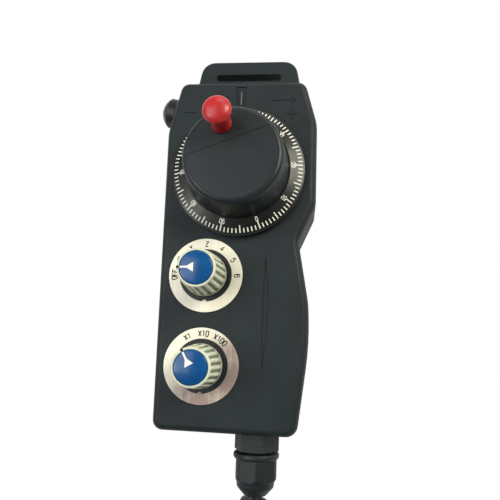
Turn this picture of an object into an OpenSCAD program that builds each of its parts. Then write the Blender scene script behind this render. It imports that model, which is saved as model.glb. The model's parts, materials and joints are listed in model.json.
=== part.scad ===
// Handheld handwheel pendant: a moulded case with an 80 mm dial wheel, two rotary
// selectors, an enable button, a cable gland and a curly cord with its connector.
// The pendant lies on its back. +Z points out of the panel, +Y towards the strap tab.

/* [Case] */
// Thickness of the case, back to panel
case_t = 42; // [38:1:50]
// Height of the joint between rear cover and front shell
joint_z = 9; // [8:0.5:10]
// Wall of both mouldings
wall = 2.6; // [2.2:0.1:3.2]
// Dial axis to the top edge
top_y = 60.3; // [58:0.1:64]
// Dial axis to the bottom edge
bottom_y = 153.2; // [150:0.1:160]
// Half width at the top edge
top_half_w = 39; // [36:0.5:41]
// Half width beside the dial
dial_half_w = 46.8; // [45:0.1:50]
// Dial axis to the right side at the waist
waist_x = 37; // [36:0.1:38.5]
// Dial axis to the right side at the belly
belly_x = 44.6; // [42:0.1:46]
// Dial axis to the right side at the bottom edge
bottom_x = 38.4; // [37:0.1:40]
// Width of the rounding round the panel
edge_w = 4.2; // [2:0.1:4.6]
// Depth of the rounding round the panel
edge_h = 5.5; // [3:0.1:6]
// Diameter of the posts for the case screws
boss_d = 7; // [6:0.5:8]

/* [Strap tab] */
// Width of the tab at its free edge
tab_w = 60; // [54:1:64]
// How far the tab stands out of the top edge
tab_out = 20; // [18:0.5:24]
// Thickness of the tab
tab_t = 9; // [8:0.5:10]
// Length of the strap slot
slot_len = 43; // [36:1:46]
// Width of the strap slot
slot_w = 4.6; // [4.4:0.1:6]

/* [Handwheel] */
// Outer diameter of the dial
dial_d = 80; // [76:1:82]
// Diameter of the knob at its foot
knob_d = 61; // [56:1:64]
// Diameter of the knob at its top edge
knob_top_d = 57; // [53:0.2:59]
// Height of the knob top over the panel
knob_h = 31; // [28:0.5:34]
// Height of the dial rim over the panel
rim_h = 4.8; // [4:0.1:6]
// Rise of the dial cone from rim to knob
cone_rise = 3.4; // [2:0.1:4]
// Wall of the hollow wheel
wheel_wall = 2.4; // [2:0.1:3]
// Diameter of the wheel shaft
shaft_d = 8; // [6:0.5:10]
// Dial axis to the straight edge of the cover plate
cover_chord = 8.4; // [7:0.1:10]
// Dial axis to the crank handle
handle_r = 18.3; // [17:0.1:19]
// Direction of the crank handle at rest, from +X
handle_dir = 111.2; // [90:0.1:135]

/* [Crank handle] */
// Height of the handle
handle_h = 20; // [17:0.5:24]
// Diameter of the mushroom head
head_d = 15.7; // [14:0.1:17]
// Diameter of the neck
neck_d = 10.6; // [9:0.1:11]

/* [Selectors] */
// Distance of both selectors to the left of the dial axis
selector_x = 17.1; // [16:0.1:20]
// Dial axis to the axis selector
axis_y = 63.1; // [62:0.1:66]
// Dial axis to the step selector
step_y = 115.8; // [112:0.1:118]
// Outer diameter of the legend plates
plate_d = 43.8; // [40:0.2:45]
// Inner diameter of the legend plates
plate_hole_d = 31; // [30:0.2:33]
// Thickness of the legend plates
plate_t = 1; // [0.6:0.1:1.5]
// Height of the selector knob over the panel
selector_h = 30.5; // [26:0.5:32]
// Diameter of the selector knob at its foot
selector_d = 25.6; // [24:0.2:27]
// Diameter of the selector knob at its top
selector_top_d = 22; // [20:0.2:23]
// Diameter of the blue cap
cap_d = 18.8; // [17:0.1:19]
// Flutes round the selector knob
flutes = 20; // [16:1:24]

/* [Enable button] */
// Diameter of the button's bezel
bezel_d = 24; // [22:0.5:25]
// Diameter of the domed cap
button_d = 19; // [17:0.5:20]
// How far the dome stands out of the case side
button_out = 12.8; // [11:0.1:13]
// Travel of the button
button_travel = 2.5; // [1:0.5:3]
// Height of the button's axis
button_z = 23; // [22.5:0.5:24]

/* [Cable gland] */
// Distance of the gland to the right of the dial axis
gland_x = 14.9; // [12:0.1:16]
// Height of the gland's axis
gland_z = 22; // [21:0.5:23]
// Width across the flats of the gland body
gland_af = 23.4; // [21:0.2:25]
// Length of the hexagonal body
gland_hex = 10.4; // [9:0.2:12]
// Length of the clamping nut
gland_nut_len = 24; // [20:0.5:26]

/* [Cord] */
// Diameter of the cord
cord_d = 6.2; // [5.6:0.1:6.4]
// Outer diameter of the curls
curl_d = 19; // [17:0.5:20]

/* [Hidden] */
$fn = 48;

// Gap between pieces that only stand near each other
gap = 0.3;
// Radial clearance of shafts and spindles
run = 0.05;
panel_z = case_t;

// How much lower the bottom edge ends on its right
bottom_slant = 0.6;

// Corners of the case outline, anticlockwise from the bottom right: x, y, radius
case_corners = [
    [bottom_x, -bottom_y - bottom_slant, 7],
    [belly_x, -0.66 * bottom_y, 180],
    [belly_x - 1, -78, 60],
    [waist_x, -41, 9],
    [dial_half_w, -18.5, 12],
    [dial_half_w - 0.2, 33, 30],
    [top_half_w, top_y, 6],
    [-top_half_w, top_y, 6],
    [0.4 - dial_half_w, 28, 30],
    [2.1 - dial_half_w, -bottom_y, 6]
];

// Corners of the strap tab, anticlockwise from its root inside the top wall
tab_mid = 2.2;
tab_root = top_y - wall - 0.4;
tab_tip = top_y + tab_out;
tab_corners = [
    [tab_mid + tab_w / 2 + 6, tab_root, 1.5],
    [tab_mid + tab_w / 2 + 3.3, top_y + 3, 4],
    [tab_mid + tab_w / 2, tab_tip, 9],
    [tab_mid - tab_w / 2, tab_tip, 9],
    [tab_mid - tab_w / 2 - 3.3, top_y + 3, 4],
    [tab_mid - tab_w / 2 - 6, tab_root, 1.5]
];
tab_top_z = panel_z - 12;
slot_y = top_y + 0.43 * tab_out;

// Button axis: square to the upper left side, which leans inwards
side_low = [case_corners[8][0], case_corners[8][1]];
side_high = [case_corners[7][0], case_corners[7][1]];
side_dir = unit(side_high - side_low);
button_turn = atan2(side_dir[0], -side_dir[1]);
button_nut_r = button_d / 2 + 2.3;
button_nut_low = 6.5;
button_nut_t = 2.4;
// The nut inside the case just clears the top wall
button_y = tab_root - gap - button_nut_r * side_dir[1]
    + (button_nut_low - button_nut_t) * side_dir[0];
button_foot = side_low + (button_y - side_low[1]) / side_dir[1] * side_dir;
button_stem = button_nut_low + button_travel;
switch_front = 8;
switch_deep = 8;
switch_long = 16;
// Corner of the switch that comes closest to the left case screw
switch_corner = button_foot + (switch_front + switch_deep) * [side_dir[1], -side_dir[0]]
    + switch_long / 2 * side_dir;
dome_r = 11.5;
bezel_t = 2.4;
// Farthest point of the dome in -X, for a dome whose axis leans by button_turn
dome_mid = button_foot + (button_out - dome_r) * [cos(button_turn), sin(button_turn)];
button_reach = dome_mid[0] - dome_r;

// Gland ends, measured in -Y from the dial axis
gland_y = bottom_y + bottom_slant - 0.1;
gland_slack = 1.2;
nut_start = gland_y + gland_hex + gland_slack;
gland_end = nut_start + gland_nut_len;

// The origin is under the middle of the box round the pendant without its cord
mid_x = (button_reach + dial_half_w) / 2;
mid_y = (tab_tip - gland_end) / 2;

// Case screws: two at the top, two at the waist, two at the bottom
screw_spots = [
    [switch_corner[0] + boss_d / 2 + 0.7, top_y - 6.8], [top_half_w - 17, top_y - 6.8],
    [10 - dial_half_w, -44], [waist_x - 6.5, -44],
    [11 - dial_half_w, 12 - bottom_y], [bottom_x - 8.9, 12 - bottom_y]
];

// Rows of the cone that carries the scale: radius at the rim, radius at the knob
cone_low_r = dial_d / 2 - 0.4;
cone_high_r = knob_d / 2 + 0.9;
scale_t = 0.8;
knob_foot_z = rim_h + cone_rise;
well_r = knob_top_d / 2 - 3;
cover_t = 1.6;
hub_r = shaft_d / 2 + 4;
base_body_r = 29;
base_depth = 17;
base_flange_t = 1.4;
disc_r = base_body_r - 7;
bearing_r = shaft_d / 2 + 4;
bearing_w = 5;

// Route of the cord beyond the gland: curls first, then a plain tail to the plug
curl_route = [
    [14.9, -191.2, 22], [14.9, -201, 20.6], [14.6, -213, 16], [14.2, -225, 12], [14, -238, 10],
    [14, -260, 10], [14, -285, 10], [14, -305, 10], [12, -316, 10], [6, -325, 10],
    [-3, -329, 10], [-12, -325, 10], [-18, -316, 10], [-20, -305, 10], [-20, -285, 10],
    [-20, -262, 10], [-22, -251, 10], [-28, -242, 10], [-37, -238, 10], [-46, -242, 10],
    [-52, -251, 10], [-54, -262, 10], [-54, -285, 10], [-54, -305, 10], [-54, -318, 10]
];
tail_route = [
    [-54, -318, 10], [-54, -325, 8], [-51, -337, 5], [-42, -346, 3.6], [-30, -349, 3.4],
    [-16, -349, 3.4], [0, -349, 3.4], [14, -349, 4], [26, -346, 7], [35, -337, 11],
    [38, -325, 14], [38, -314, 14]
];
plug_x = 38;
plug_y = -322;
plug_z = 14;
plug_body_r = 11;

function unit(v) = v / norm(v);
function xy(p) = [p[0], p[1]];

// Points of one rounded corner of an outline, moved inwards by inset
function corner_points(p, i, inset) =
    let (
        n = len(p),
        here = xy(p[i]),
        u = unit(here - xy(p[(i - 1 + n) % n])),
        v = unit(xy(p[(i + 1) % n]) - here),
        side = sign(cross(u, v)),
        half = acos(u * v) / 2,
        start = here - u * p[i][2] * tan(half),
        centre = start + side * p[i][2] * [-u[1], u[0]],
        radius = p[i][2] - side * inset,
        from = atan2(start[1] - centre[1], start[0] - centre[0]),
        steps = max(4, ceil(half / 8))
    )
    [for (k = [0:steps])
        centre + sign(p[i][2]) * radius
            * [cos(from + side * 2 * half * k / steps), sin(from + side * 2 * half * k / steps)]];

function outline(p, inset = 0) = [for (i = [0:len(p) - 1]) each corner_points(p, i, inset)];

// Closed solid through rings of points, each ring given as [height, points]
module loft(rings) {
    n = len(rings[0][1]);
    m = len(rings);
    points = [for (ring = rings) for (q = ring[1]) [q[0], q[1], ring[0]]];
    bottom = [[for (k = [0:n - 1]) k]];
    top = [[for (k = [n - 1:-1:0]) (m - 1) * n + k]];
    sides = [for (j = [0:m - 2]) for (k = [0:n - 1])
        [j * n + k, (j + 1) * n + k, (j + 1) * n + (k + 1) % n, j * n + (k + 1) % n]];
    polyhedron(points, concat(bottom, sides, top), convexity = 6);
}

// The same solid with its two ends cut flat and clean
module trimmed_loft(rings) {
    low = rings[0];
    high = rings[len(rings) - 1];
    half = bottom_y + top_y;
    intersection() {
        loft(concat([[low[0] - 1, low[1]]], rings, [[high[0] + 1, high[1]]]));
        translate([-half, -half, low[0]]) cube([2 * half, 2 * half, high[0] - low[0]]);
    }
}

// Rings of a prism whose upper edge is rounded by w inwards and h downwards
function domed_rings(p, z0, z1, w, h, steps = 5) = concat(
    [[z0, outline(p)]],
    [for (k = [0:steps]) [z1 - h + h * sin(90 * k / steps), outline(p, w - w * cos(90 * k / steps))]]
);

// Rings of a prism whose lower edge is rounded
function footed_rings(p, z0, z1, w, h, steps = 4) = concat(
    [for (k = [0:steps]) [z0 + h - h * cos(90 * k / steps), outline(p, w - w * sin(90 * k / steps))]],
    [[z1, outline(p)]]
);

// Points on a ring round a cord, square to its direction d
function ring_points(c, d, r, sides) =
    let (
        side_axis = unit(cross(d, abs(d[2]) > 0.9 ? [1, 0, 0] : [0, 0, 1])),
        up_axis = cross(side_axis, d)
    )
    [for (k = [0:sides - 1])
        c + r * cos(360 * k / sides) * side_axis + r * sin(360 * k / sides) * up_axis];

function route_dir(p, i) = unit(p[min(i + 1, len(p) - 1)] - p[max(i - 1, 0)]);

// Round tube along a route
module cord_tube(route, d, sides) {
    m = len(route);
    rings = [for (i = [0:m - 1]) ring_points(route[i], route_dir(route, i), d / 2, sides)];
    points = [for (ring = rings) each ring];
    faces = concat(
        [[for (k = [sides - 1:-1:0]) k]],
        [for (j = [0:m - 2]) for (k = [0:sides - 1])
            [j * sides + k, j * sides + (k + 1) % sides,
             (j + 1) * sides + (k + 1) % sides, (j + 1) * sides + k]],
        [[for (k = [0:sides - 1]) (m - 1) * sides + k]]
    );
    polyhedron(points, faces, convexity = 8);
}

module ring(outer_r, inner_r, h) {
    difference() {
        cylinder(r = outer_r, h = h);
        translate([0, 0, -1]) cylinder(r = inner_r, h = h + 2);
    }
}

module hexagon(af, h) {
    cylinder(d = af / cos(30), h = h, $fn = 6);
}

// Places for the sub-assemblies
module at_case() {
    translate([-mid_x, -mid_y, 0]) children();
}

module at_wheel() {
    at_case() translate([0, 0, panel_z]) children();
}

module at_handle() {
    at_wheel() rotate(handle_dir) translate([handle_r, 0, knob_h]) children();
}

module at_selector(y) {
    at_case() translate([-selector_x, -y, panel_z]) children();
}

// Local +Z points out of the case side, local -X points up
module at_button() {
    at_case() translate([button_foot[0], button_foot[1], button_z])
        rotate(button_turn) rotate([0, 90, 0]) children();
}

// Local +Z points out of the bottom end
module at_gland() {
    at_case() translate([gland_x, -gland_y, gland_z]) rotate([90, 0, 0]) children();
}

module at_plug() {
    at_case() translate([plug_x, plug_y, plug_z]) rotate([-90, 0, 0]) children();
}

module screw_places() {
    for (spot = screw_spots) translate(spot) children();
}

// Lens-shaped shallow dent beside the selectors
dent_len = 66;
dent_bulge = 2.6;
dent_depth = 0.7;
module side_dent() {
    r = (dent_len * dent_len / 4 + dent_bulge * dent_bulge) / (2 * dent_bulge);
    steps = 10;
    spread = asin(dent_len / 2 / r);
    right = [for (k = [0:steps]) [r * cos(-spread + 2 * spread * k / steps) - r + dent_bulge,
        r * sin(-spread + 2 * spread * k / steps)]];
    left = [for (k = [steps - 1:-1:1]) [-0.35 * right[k][0], right[k][1]]];
    translate([17.9, -83.5, panel_z - dent_depth])
        linear_extrude(dent_depth + 1) polygon(concat(right, left));
}

// Recess with the raised pointer that the dial is read against
module index_recess() {
    translate([-0.7, 50.8, panel_z - 0.8]) difference() {
        translate([-3.1, -7.2, 0]) cube([6.2, 12.4, 2]);
        translate([0, 0, -1]) linear_extrude(2)
            polygon([[-1, -8], [1, -8], [1, 2.2], [0, 3.8], [-1, 2.2]]);
    }
}

module front_shell() color([0.2, 0.22, 0.23]) at_case() {
    ceiling = panel_z - wall - 0.4;
    difference() {
        union() {
            difference() {
                trimmed_loft(domed_rings(case_corners, joint_z, panel_z, edge_w, edge_h));
                loft([
                    [joint_z - 1, outline(case_corners, wall)],
                    [panel_z - edge_h, outline(case_corners, wall)],
                    [ceiling, outline(case_corners, wall + edge_w * 0.7)]
                ]);
            }
            screw_places() translate([0, 0, joint_z]) cylinder(d = boss_d, h = ceiling - joint_z + 0.2);
            difference() {
                trimmed_loft(domed_rings(tab_corners, tab_top_z - tab_t, tab_top_z, 1.2, 1.4, 3));
                hull() for (s = [-1, 1])
                    translate([tab_mid + s * (slot_len - slot_w) / 2, slot_y, 0])
                        cylinder(d = slot_w, h = panel_z);
            }
        }
        screw_places() translate([0, 0, joint_z - 1]) cylinder(d = 2.6, h = 14);
        translate([0, 0, ceiling - 1]) cylinder(r = base_body_r + gap, h = 10);
        base_screw_places() cylinder(r = 1.2, h = panel_z + 5);
        for (y = [axis_y, step_y]) translate([-selector_x, -y, ceiling - 1]) {
            cylinder(r = 4.9, h = 10);
            translate([0, 9, 0]) cylinder(r = 1.2, h = 10);
        }
        translate([gland_x, -bottom_y + wall + 1, gland_z]) rotate([90, 0, 0])
            cylinder(r = 9.4, h = wall + 4);
        translate([button_foot[0], button_foot[1], button_z]) rotate(button_turn)
            rotate([0, 90, 0]) translate([0, 0, -8]) cylinder(r = button_d / 2 + 1.2, h = 14);
        side_dent();
        index_recess();
    }
}

module rear_cover() color([0.19, 0.21, 0.22]) at_case() {
    difference() {
        trimmed_loft(footed_rings(case_corners, 0, joint_z - gap, 3, 3.5));
        difference() {
            translate([0, 0, wall]) linear_extrude(joint_z)
                polygon(outline(case_corners, wall));
            screw_places() cylinder(d = boss_d + 2, h = joint_z);
        }
        screw_places() {
            translate([0, 0, -1]) cylinder(d = 3.4, h = joint_z + 2);
            translate([0, 0, -1]) cylinder(d = 6.6, h = 4.4);
        }
        translate([0, 0, joint_z - 1.6]) linear_extrude(2) difference() {
            polygon(outline(case_corners, 0.8));
            polygon(outline(case_corners, 2));
        }
    }
}

module case_gasket() color([0.08, 0.08, 0.08]) at_case() {
    translate([0, 0, joint_z - 1.6]) linear_extrude(1.6) difference() {
        polygon(outline(case_corners, 0.85));
        polygon(outline(case_corners, 1.95));
    }
}

module case_screws() color([0.55, 0.56, 0.58]) at_case() screw_places() {
    difference() {
        translate([0, 0, 1.2]) cylinder(d = 5.6, h = 2.2);
        translate([0, 0, 1]) cylinder(d = 2.6, h = 1.4, $fn = 6);
    }
    translate([0, 0, 3.4]) cylinder(d = 2.5, h = joint_z + 8);
}

// Fixed body of the wheel unit, in the panel
module wheel_base() color([0.12, 0.12, 0.13]) at_wheel() {
    difference() {
        union() {
            cylinder(r = base_body_r + 5, h = base_flange_t);
            translate([0, 0, -base_depth]) cylinder(r = base_body_r, h = base_depth + 0.1);
            cylinder(r = bearing_r + 2.4, h = 7);
        }
        translate([0, 0, -base_depth - 1]) cylinder(r = base_body_r - 2, h = base_depth - 4);
        translate([0, 0, -base_depth]) cylinder(r = bearing_r, h = base_depth + 20);
        base_screw_places() {
            translate([0, 0, -1]) cylinder(r = 1.3, h = 5);
            translate([0, 0, 0.3]) cylinder(r = 2.3, h = 3);
        }
    }
}

module base_screw_places() {
    for (a = [30, 150, 270]) rotate(a) translate([base_body_r + 2.5, 0, 0]) children();
}

module base_screws() color([0.55, 0.56, 0.58]) at_wheel() base_screw_places() {
    difference() {
        translate([0, 0, 0.3]) cylinder(r = 2.2, h = 0.9);
        translate([0, 0, 0.7]) cylinder(r = 1, h = 2, $fn = 6);
    }
    translate([0, 0, -4]) cylinder(r = 1.2, h = 4.4);
}

module bearing(z) at_wheel() translate([0, 0, z]) {
    difference() {
        ring(bearing_r - 0.02, shaft_d / 2 + run, bearing_w);
        for (zz = [-0.2, bearing_w - 0.5]) translate([0, 0, zz])
            ring(bearing_r - 1, shaft_d / 2 + 1.1, 0.7);
    }
}

module front_bearing() color([0.7, 0.7, 0.72]) bearing(2);

module rear_bearing() color([0.7, 0.7, 0.72]) bearing(-5);

module wheel_shaft() color([0.75, 0.75, 0.77]) at_wheel() {
    translate([0, 0, -14]) cylinder(d = shaft_d, h = 28);
    translate([0, 0, -8]) cylinder(r = shaft_d / 2 + 2.5, h = 3 - gap);
}

module encoder_disc() color([0.6, 0.62, 0.65]) at_wheel() {
    slots = 50;
    translate([0, 0, -11.5]) difference() {
        ring(disc_r, shaft_d / 2, 0.8);
        for (k = [0:slots - 1]) rotate(k * 360 / slots)
            translate([disc_r - 4, -0.5, -1]) cube([2.6, 1, 3]);
    }
}

module encoder_board() color([0.1, 0.35, 0.2]) at_wheel() {
    translate([0, 0, -base_depth - 0.1]) {
        translate([0, 0, -1.6]) cylinder(r = base_body_r - 0.5, h = 1.6);
        translate([disc_r - 6, -5, 0]) cube([10, 10, 4.9]);
        translate([-disc_r, -8, -6.6]) cube([8, 16, 5]);
    }
}

// Toothed ring that gives the wheel its clicks
module click_ring() color([0.8, 0.78, 0.7]) at_wheel() {
    teeth = 50;
    translate([0, 0, -10.7]) difference() {
        ring(14, shaft_d / 2, 2.4);
        for (k = [0:teeth - 1]) rotate(k * 360 / teeth)
            translate([14.1, 0, -1]) rotate(45) cube([0.8, 0.8, 6], center = true);
    }
}

module click_spring() color([0.7, 0.68, 0.6]) at_wheel() {
    translate([15.2, -11, -10]) cube([0.5, 22, 1.8]);
    translate([15.2, -12, -10]) cube([4, 1.2, 5]);
    translate([14.9, 0, -10]) cylinder(r = 0.5, h = 1.8);
}

// Radius of the knob at height z over the panel
function knob_r(z) = knob_d / 2 + (knob_top_d - knob_d) / 2 * (z - knob_foot_z)
    / (knob_h - knob_foot_z);

module handwheel() color([0.17, 0.19, 0.2]) at_wheel() {
    edge = 3.6;
    shoulder = knob_r(knob_h);
    under = knob_h - cover_t - 2.6;
    rounding = [for (a = [0:15:90])
        [shoulder - edge + edge * cos(a), knob_h - edge + edge * sin(a)]];
    outside = concat(
        [[dial_d / 2, base_flange_t + 0.8], [dial_d / 2, rim_h]],
        [[cone_low_r, rim_h], [cone_low_r, rim_h + 0.2 - scale_t]],
        [[cone_high_r, knob_foot_z - scale_t], [knob_d / 2, knob_foot_z - scale_t]],
        rounding
    );
    inside = [
        [hub_r, under], [knob_r(under) - wheel_wall, under],
        [knob_d / 2 - wheel_wall, knob_foot_z], [knob_d / 2 - wheel_wall, rim_h - 0.6],
        [dial_d / 2 - wheel_wall, base_flange_t + 0.8]
    ];
    difference() {
        rotate_extrude($fn = 96) polygon(concat(
            [[0, knob_h], [0, 8], [hub_r, 8]], inside, outside));
        translate([0, 0, 7]) cylinder(d = shaft_d, h = 7);
        translate([0, 0, knob_h - cover_t]) cover_shape(cover_t + 1, 0);
        translate([0, 0, 10]) cylinder(r = 2.2, h = knob_h);
        translate([0, 0, knob_h - cover_t - 2.4]) cylinder(r = 4.6, h = 5);
        rotate(handle_dir) translate([handle_r, 0, 0]) cylinder(r = 2.5, h = knob_h + 5);
    }
}

// Disc with one straight side, towards the crank handle
module cover_shape(h, clearance) {
    difference() {
        cylinder(r = well_r - clearance, h = h, $fn = 96);
        rotate(handle_dir) translate([cover_chord - clearance, -well_r, -1])
            cube([well_r, 2 * well_r, h + 2]);
    }
}

module scale_ring() color([0.13, 0.13, 0.13]) at_wheel() {
    rotate_extrude($fn = 96) polygon([
        [cone_low_r, rim_h + 0.2 - scale_t], [cone_low_r, rim_h + 0.2],
        [cone_high_r, knob_foot_z], [knob_d / 2, knob_foot_z],
        [knob_d / 2, knob_foot_z - scale_t], [cone_high_r, knob_foot_z - scale_t]
    ]);
}

module wheel_cover() color([0.17, 0.19, 0.2]) at_wheel() {
    translate([0, 0, knob_h - cover_t]) cover_shape(cover_t, 0.15);
}

module wheel_bolt() color([0.6, 0.6, 0.62]) at_wheel() {
    translate([0, 0, knob_h - cover_t - 2.4]) cylinder(r = 4, h = 2.2);
    translate([0, 0, 14]) cylinder(r = 2, h = knob_h - 14 - cover_t - 2.4);
}

module handle_spindle() color([0.75, 0.75, 0.77]) at_handle() {
    translate([0, 0, -cover_t - 2.6 - 1.2]) cylinder(r = 4.4, h = 1.2);
    translate([0, 0, -cover_t - 2.6]) cylinder(r = 2.5, h = handle_h - 2);
    translate([0, 0, handle_h - 8]) cylinder(r = 3.2, h = 1.6);
}

// Mushroom knob that spins on its spindle
module crank_handle() color([0.8, 0.2, 0.2]) at_handle() {
    head_r = head_d / 2;
    neck_r = neck_d / 2;
    head_z = handle_h - 3.9;
    dome = [for (a = [0:10:80]) [head_r * cos(a), head_z + 3.9 * sin(a)]];
    under = [for (a = [20:20:80])
        [neck_r + (head_r - neck_r) * (1 - cos(a)), head_z - 5.4 + 5.4 * sin(a)]];
    flare = [[0, gap], [neck_r + 0.5, gap], [neck_r + 0.5, 1.2], [neck_r - 0.1, 4]];
    difference() {
        rotate_extrude() polygon(concat(flare, under, dome, [[0, handle_h]]));
        cylinder(r = 2.5 + run, h = handle_h - 5);
        translate([0, 0, handle_h - 8.3]) cylinder(r = 3.2 + run, h = 2.4);
    }
}

// Brushed legend plate with a locating tongue towards the bottom
module legend_plate(y) at_selector(y) {
    ring(plate_d / 2, plate_hole_d / 2, plate_t);
    translate([-1.2, -plate_hole_d / 2 - 0.6, 0]) cube([2.4, 1.6, plate_t]);
}

// Black ring inside the legend plate, notched for the tongue
module plate_skirt(y) at_selector(y) {
    difference() {
        ring(plate_hole_d / 2 - 0.1, 11, 1.8);
        translate([-1.35, -plate_hole_d / 2 - 1, -1]) cube([2.7, 2.2, 6]);
    }
}

module bushing_nut(y) at_selector(y) difference() {
    hexagon(14, 2.4);
    translate([0, 0, -1]) cylinder(r = 4.85, h = 5);
}

selector_foot = 2.2;
grip_top = selector_h - 1.6;

// Tapered fluted grip, hollow over the bushing nut
module fluted_knob(y) at_selector(y) {
    lean = atan2((selector_d - selector_top_d) / 2, grip_top - selector_foot - 4);
    difference() {
        rotate_extrude() polygon([
            [0, selector_foot], [selector_d / 2 - 0.6, selector_foot],
            [selector_d / 2, selector_foot + 0.6], [selector_d / 2, selector_foot + 3],
            [selector_top_d / 2, grip_top - 1], [selector_top_d / 2 - 1, grip_top],
            [0, grip_top]
        ]);
        for (k = [0:flutes - 1]) rotate((k + 0.5) * 360 / flutes)
            translate([selector_d / 2 + 0.55, 0, selector_foot + 3])
                rotate([0, -lean, 0]) translate([0, 0, 1]) cylinder(r = 1.35, h = 40, $fn = 16);
        cylinder(r = 9, h = 5.2);
        cylinder(r = 3, h = 20);
        translate([0, 0, grip_top - 1.4]) cylinder(r = cap_d / 2 + 0.1, h = 4);
    }
}

module knob_cap(y, turn) at_selector(y) {
    dome_low = grip_top - 1.4;
    difference() {
        rotate_extrude() polygon([
            [0, dome_low], [cap_d / 2, dome_low], [cap_d / 2, selector_h - 0.9],
            [cap_d / 2 - 0.5, selector_h - 0.35], [cap_d / 4, selector_h - 0.05], [0, selector_h]
        ]);
        rotate(turn) translate([0, 0, selector_h - 0.7]) arrow(0.05, 2);
    }
}

// Pointer line with a triangular tail, pointing along +X
module arrow(margin, h) {
    tip = cap_d / 2 - 0.4;
    tail = 1.3 - margin;
    linear_extrude(h) polygon([
        [tip, 0.5 + margin], [4.5, 0.5 + margin], [tail, 2.5 + margin],
        [tail, -2.5 - margin], [4.5, -0.5 - margin], [tip, -0.5 - margin]
    ]);
}

module cap_pointer(y, turn) at_selector(y) {
    rotate(turn) translate([0, 0, selector_h - 0.7]) arrow(0, 0.75);
}

module selector_shaft(y) at_selector(y) {
    translate([0, 0, -10]) cylinder(r = 3, h = 30);
    translate([0, 0, -10]) cylinder(r = 6, h = 1.5);
}

// Body of the switches, hidden under the legend plate
switch_r = plate_hole_d / 2 - 2.5;

module rotary_switch(y) at_selector(y) {
    difference() {
        union() {
            translate([0, 0, -wall - 0.4 - 10]) cylinder(r = switch_r, h = 10);
            translate([0, 0, -wall - 0.5]) cylinder(r = 4.8, h = wall + 0.5 + 4.9);
            translate([0, 9, -wall - 0.5]) cylinder(r = 1, h = 2.4);
        }
        translate([0, 0, -20]) cylinder(r = 3 + run, h = 40);
        translate([0, 0, -wall - 11]) cylinder(r = switch_r - 2, h = wall + 6.8);
    }
}

// Contact wafer with a crown of solder lugs
module contact_wafer(y, lugs) at_selector(y) {
    translate([0, 0, -wall - 12.2]) {
        difference() {
            cylinder(r = switch_r, h = 1.8);
            translate([0, 0, -1]) cylinder(r = 2, h = 4);
        }
        for (k = [0:lugs - 1]) rotate(k * 360 / lugs) translate([switch_r - 3, -0.8, -3.5])
            cube([0.6, 1.6, 3.5]);
    }
}

module axis_plate() color([0.9, 0.9, 0.8]) legend_plate(axis_y);

module axis_skirt() color([0.05, 0.05, 0.05]) plate_skirt(axis_y);

module axis_nut() color([0.7, 0.7, 0.72]) bushing_nut(axis_y);

module axis_knob() color([0.66, 0.68, 0.6]) fluted_knob(axis_y);

module axis_cap() color([0.1, 0.3, 0.6]) knob_cap(axis_y, 180);

module axis_pointer() color([0.95, 0.95, 0.95]) cap_pointer(axis_y, 180);

module axis_shaft() color([0.75, 0.75, 0.77]) selector_shaft(axis_y);

module axis_switch() color([0.15, 0.15, 0.16]) rotary_switch(axis_y);

module axis_wafer() color([0.75, 0.6, 0.4]) contact_wafer(axis_y, 12);

module step_plate() color([0.9, 0.9, 0.8]) legend_plate(step_y);

module step_skirt() color([0.05, 0.05, 0.05]) plate_skirt(step_y);

module step_nut() color([0.7, 0.7, 0.72]) bushing_nut(step_y);

module step_knob() color([0.66, 0.68, 0.6]) fluted_knob(step_y);

module step_cap() color([0.1, 0.3, 0.6]) knob_cap(step_y, 120);

module step_pointer() color([0.95, 0.95, 0.95]) cap_pointer(step_y, 120);

module step_shaft() color([0.75, 0.75, 0.77]) selector_shaft(step_y);

module step_switch() color([0.15, 0.15, 0.16]) rotary_switch(step_y);

module step_wafer() color([0.75, 0.6, 0.4]) contact_wafer(step_y, 12);

button_r = button_d / 2;

module button_bezel() color([0.1, 0.1, 0.11]) at_button() {
    difference() {
        union() {
            rotate_extrude() polygon([
                [0, 0], [bezel_d / 2, 0], [bezel_d / 2, bezel_t - 1],
                [bezel_d / 2 - 1, bezel_t], [0, bezel_t]
            ]);
            translate([0, 0, -7]) cylinder(r = button_r + 1, h = 7.1);
        }
        translate([0, 0, -8]) cylinder(r = button_r + run, h = 20);
    }
}

module button_nut() color([0.6, 0.6, 0.62]) at_button() {
    translate([0, 0, -button_nut_low]) ring(button_nut_r, button_r + 1.05, button_nut_t);
}

// Domed cap with the stem that works the switch
module button_cap() color([0.08, 0.09, 0.1]) at_button() {
    foot = button_out - dome_r;
    edge_a = acos(button_r / dome_r);
    dome = [for (k = [0:6]) [dome_r * cos(edge_a + (90 - edge_a) * k / 6),
        foot + dome_r * sin(edge_a + (90 - edge_a) * k / 6)]];
    rotate_extrude() polygon(concat(
        [[0, -button_stem], [2, -button_stem], [2, -1], [button_r - 1.5, -1],
            [button_r - 1.5, -3], [button_r, -3]],
        dome));
}

module button_switch() color([0.16, 0.14, 0.13]) at_button() {
    difference() {
        translate([-5, -switch_long / 2, -switch_front - switch_deep])
            cube([10, switch_long, switch_deep]);
        translate([0, 0, -button_stem - button_travel - 1.5]) cylinder(r = 2 + run, h = 10);
    }
    for (s = [-1, 0, 1]) translate([-0.4, 5.5 * s - 1, -switch_front - switch_deep - 3])
        cube([0.8, 2, 3.1]);
    for (s = [-1, 1]) translate([-4, s * 7 - 1, -switch_front - 0.1]) cube([8, 2, 1.1]);
}

board_z = 14;
board_t = 1.6;
board_left = 20.8 - dial_half_w;
board_right = waist_x - 15;
board_low = 10.5 - bottom_y;
board_high = -base_body_r - 9;
board_inset = 4;

module board_posts() {
    for (x = [board_left + board_inset, board_right - board_inset])
        for (y = [board_low + board_inset, board_high - board_inset])
            translate([x, y, 0]) children();
}

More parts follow.
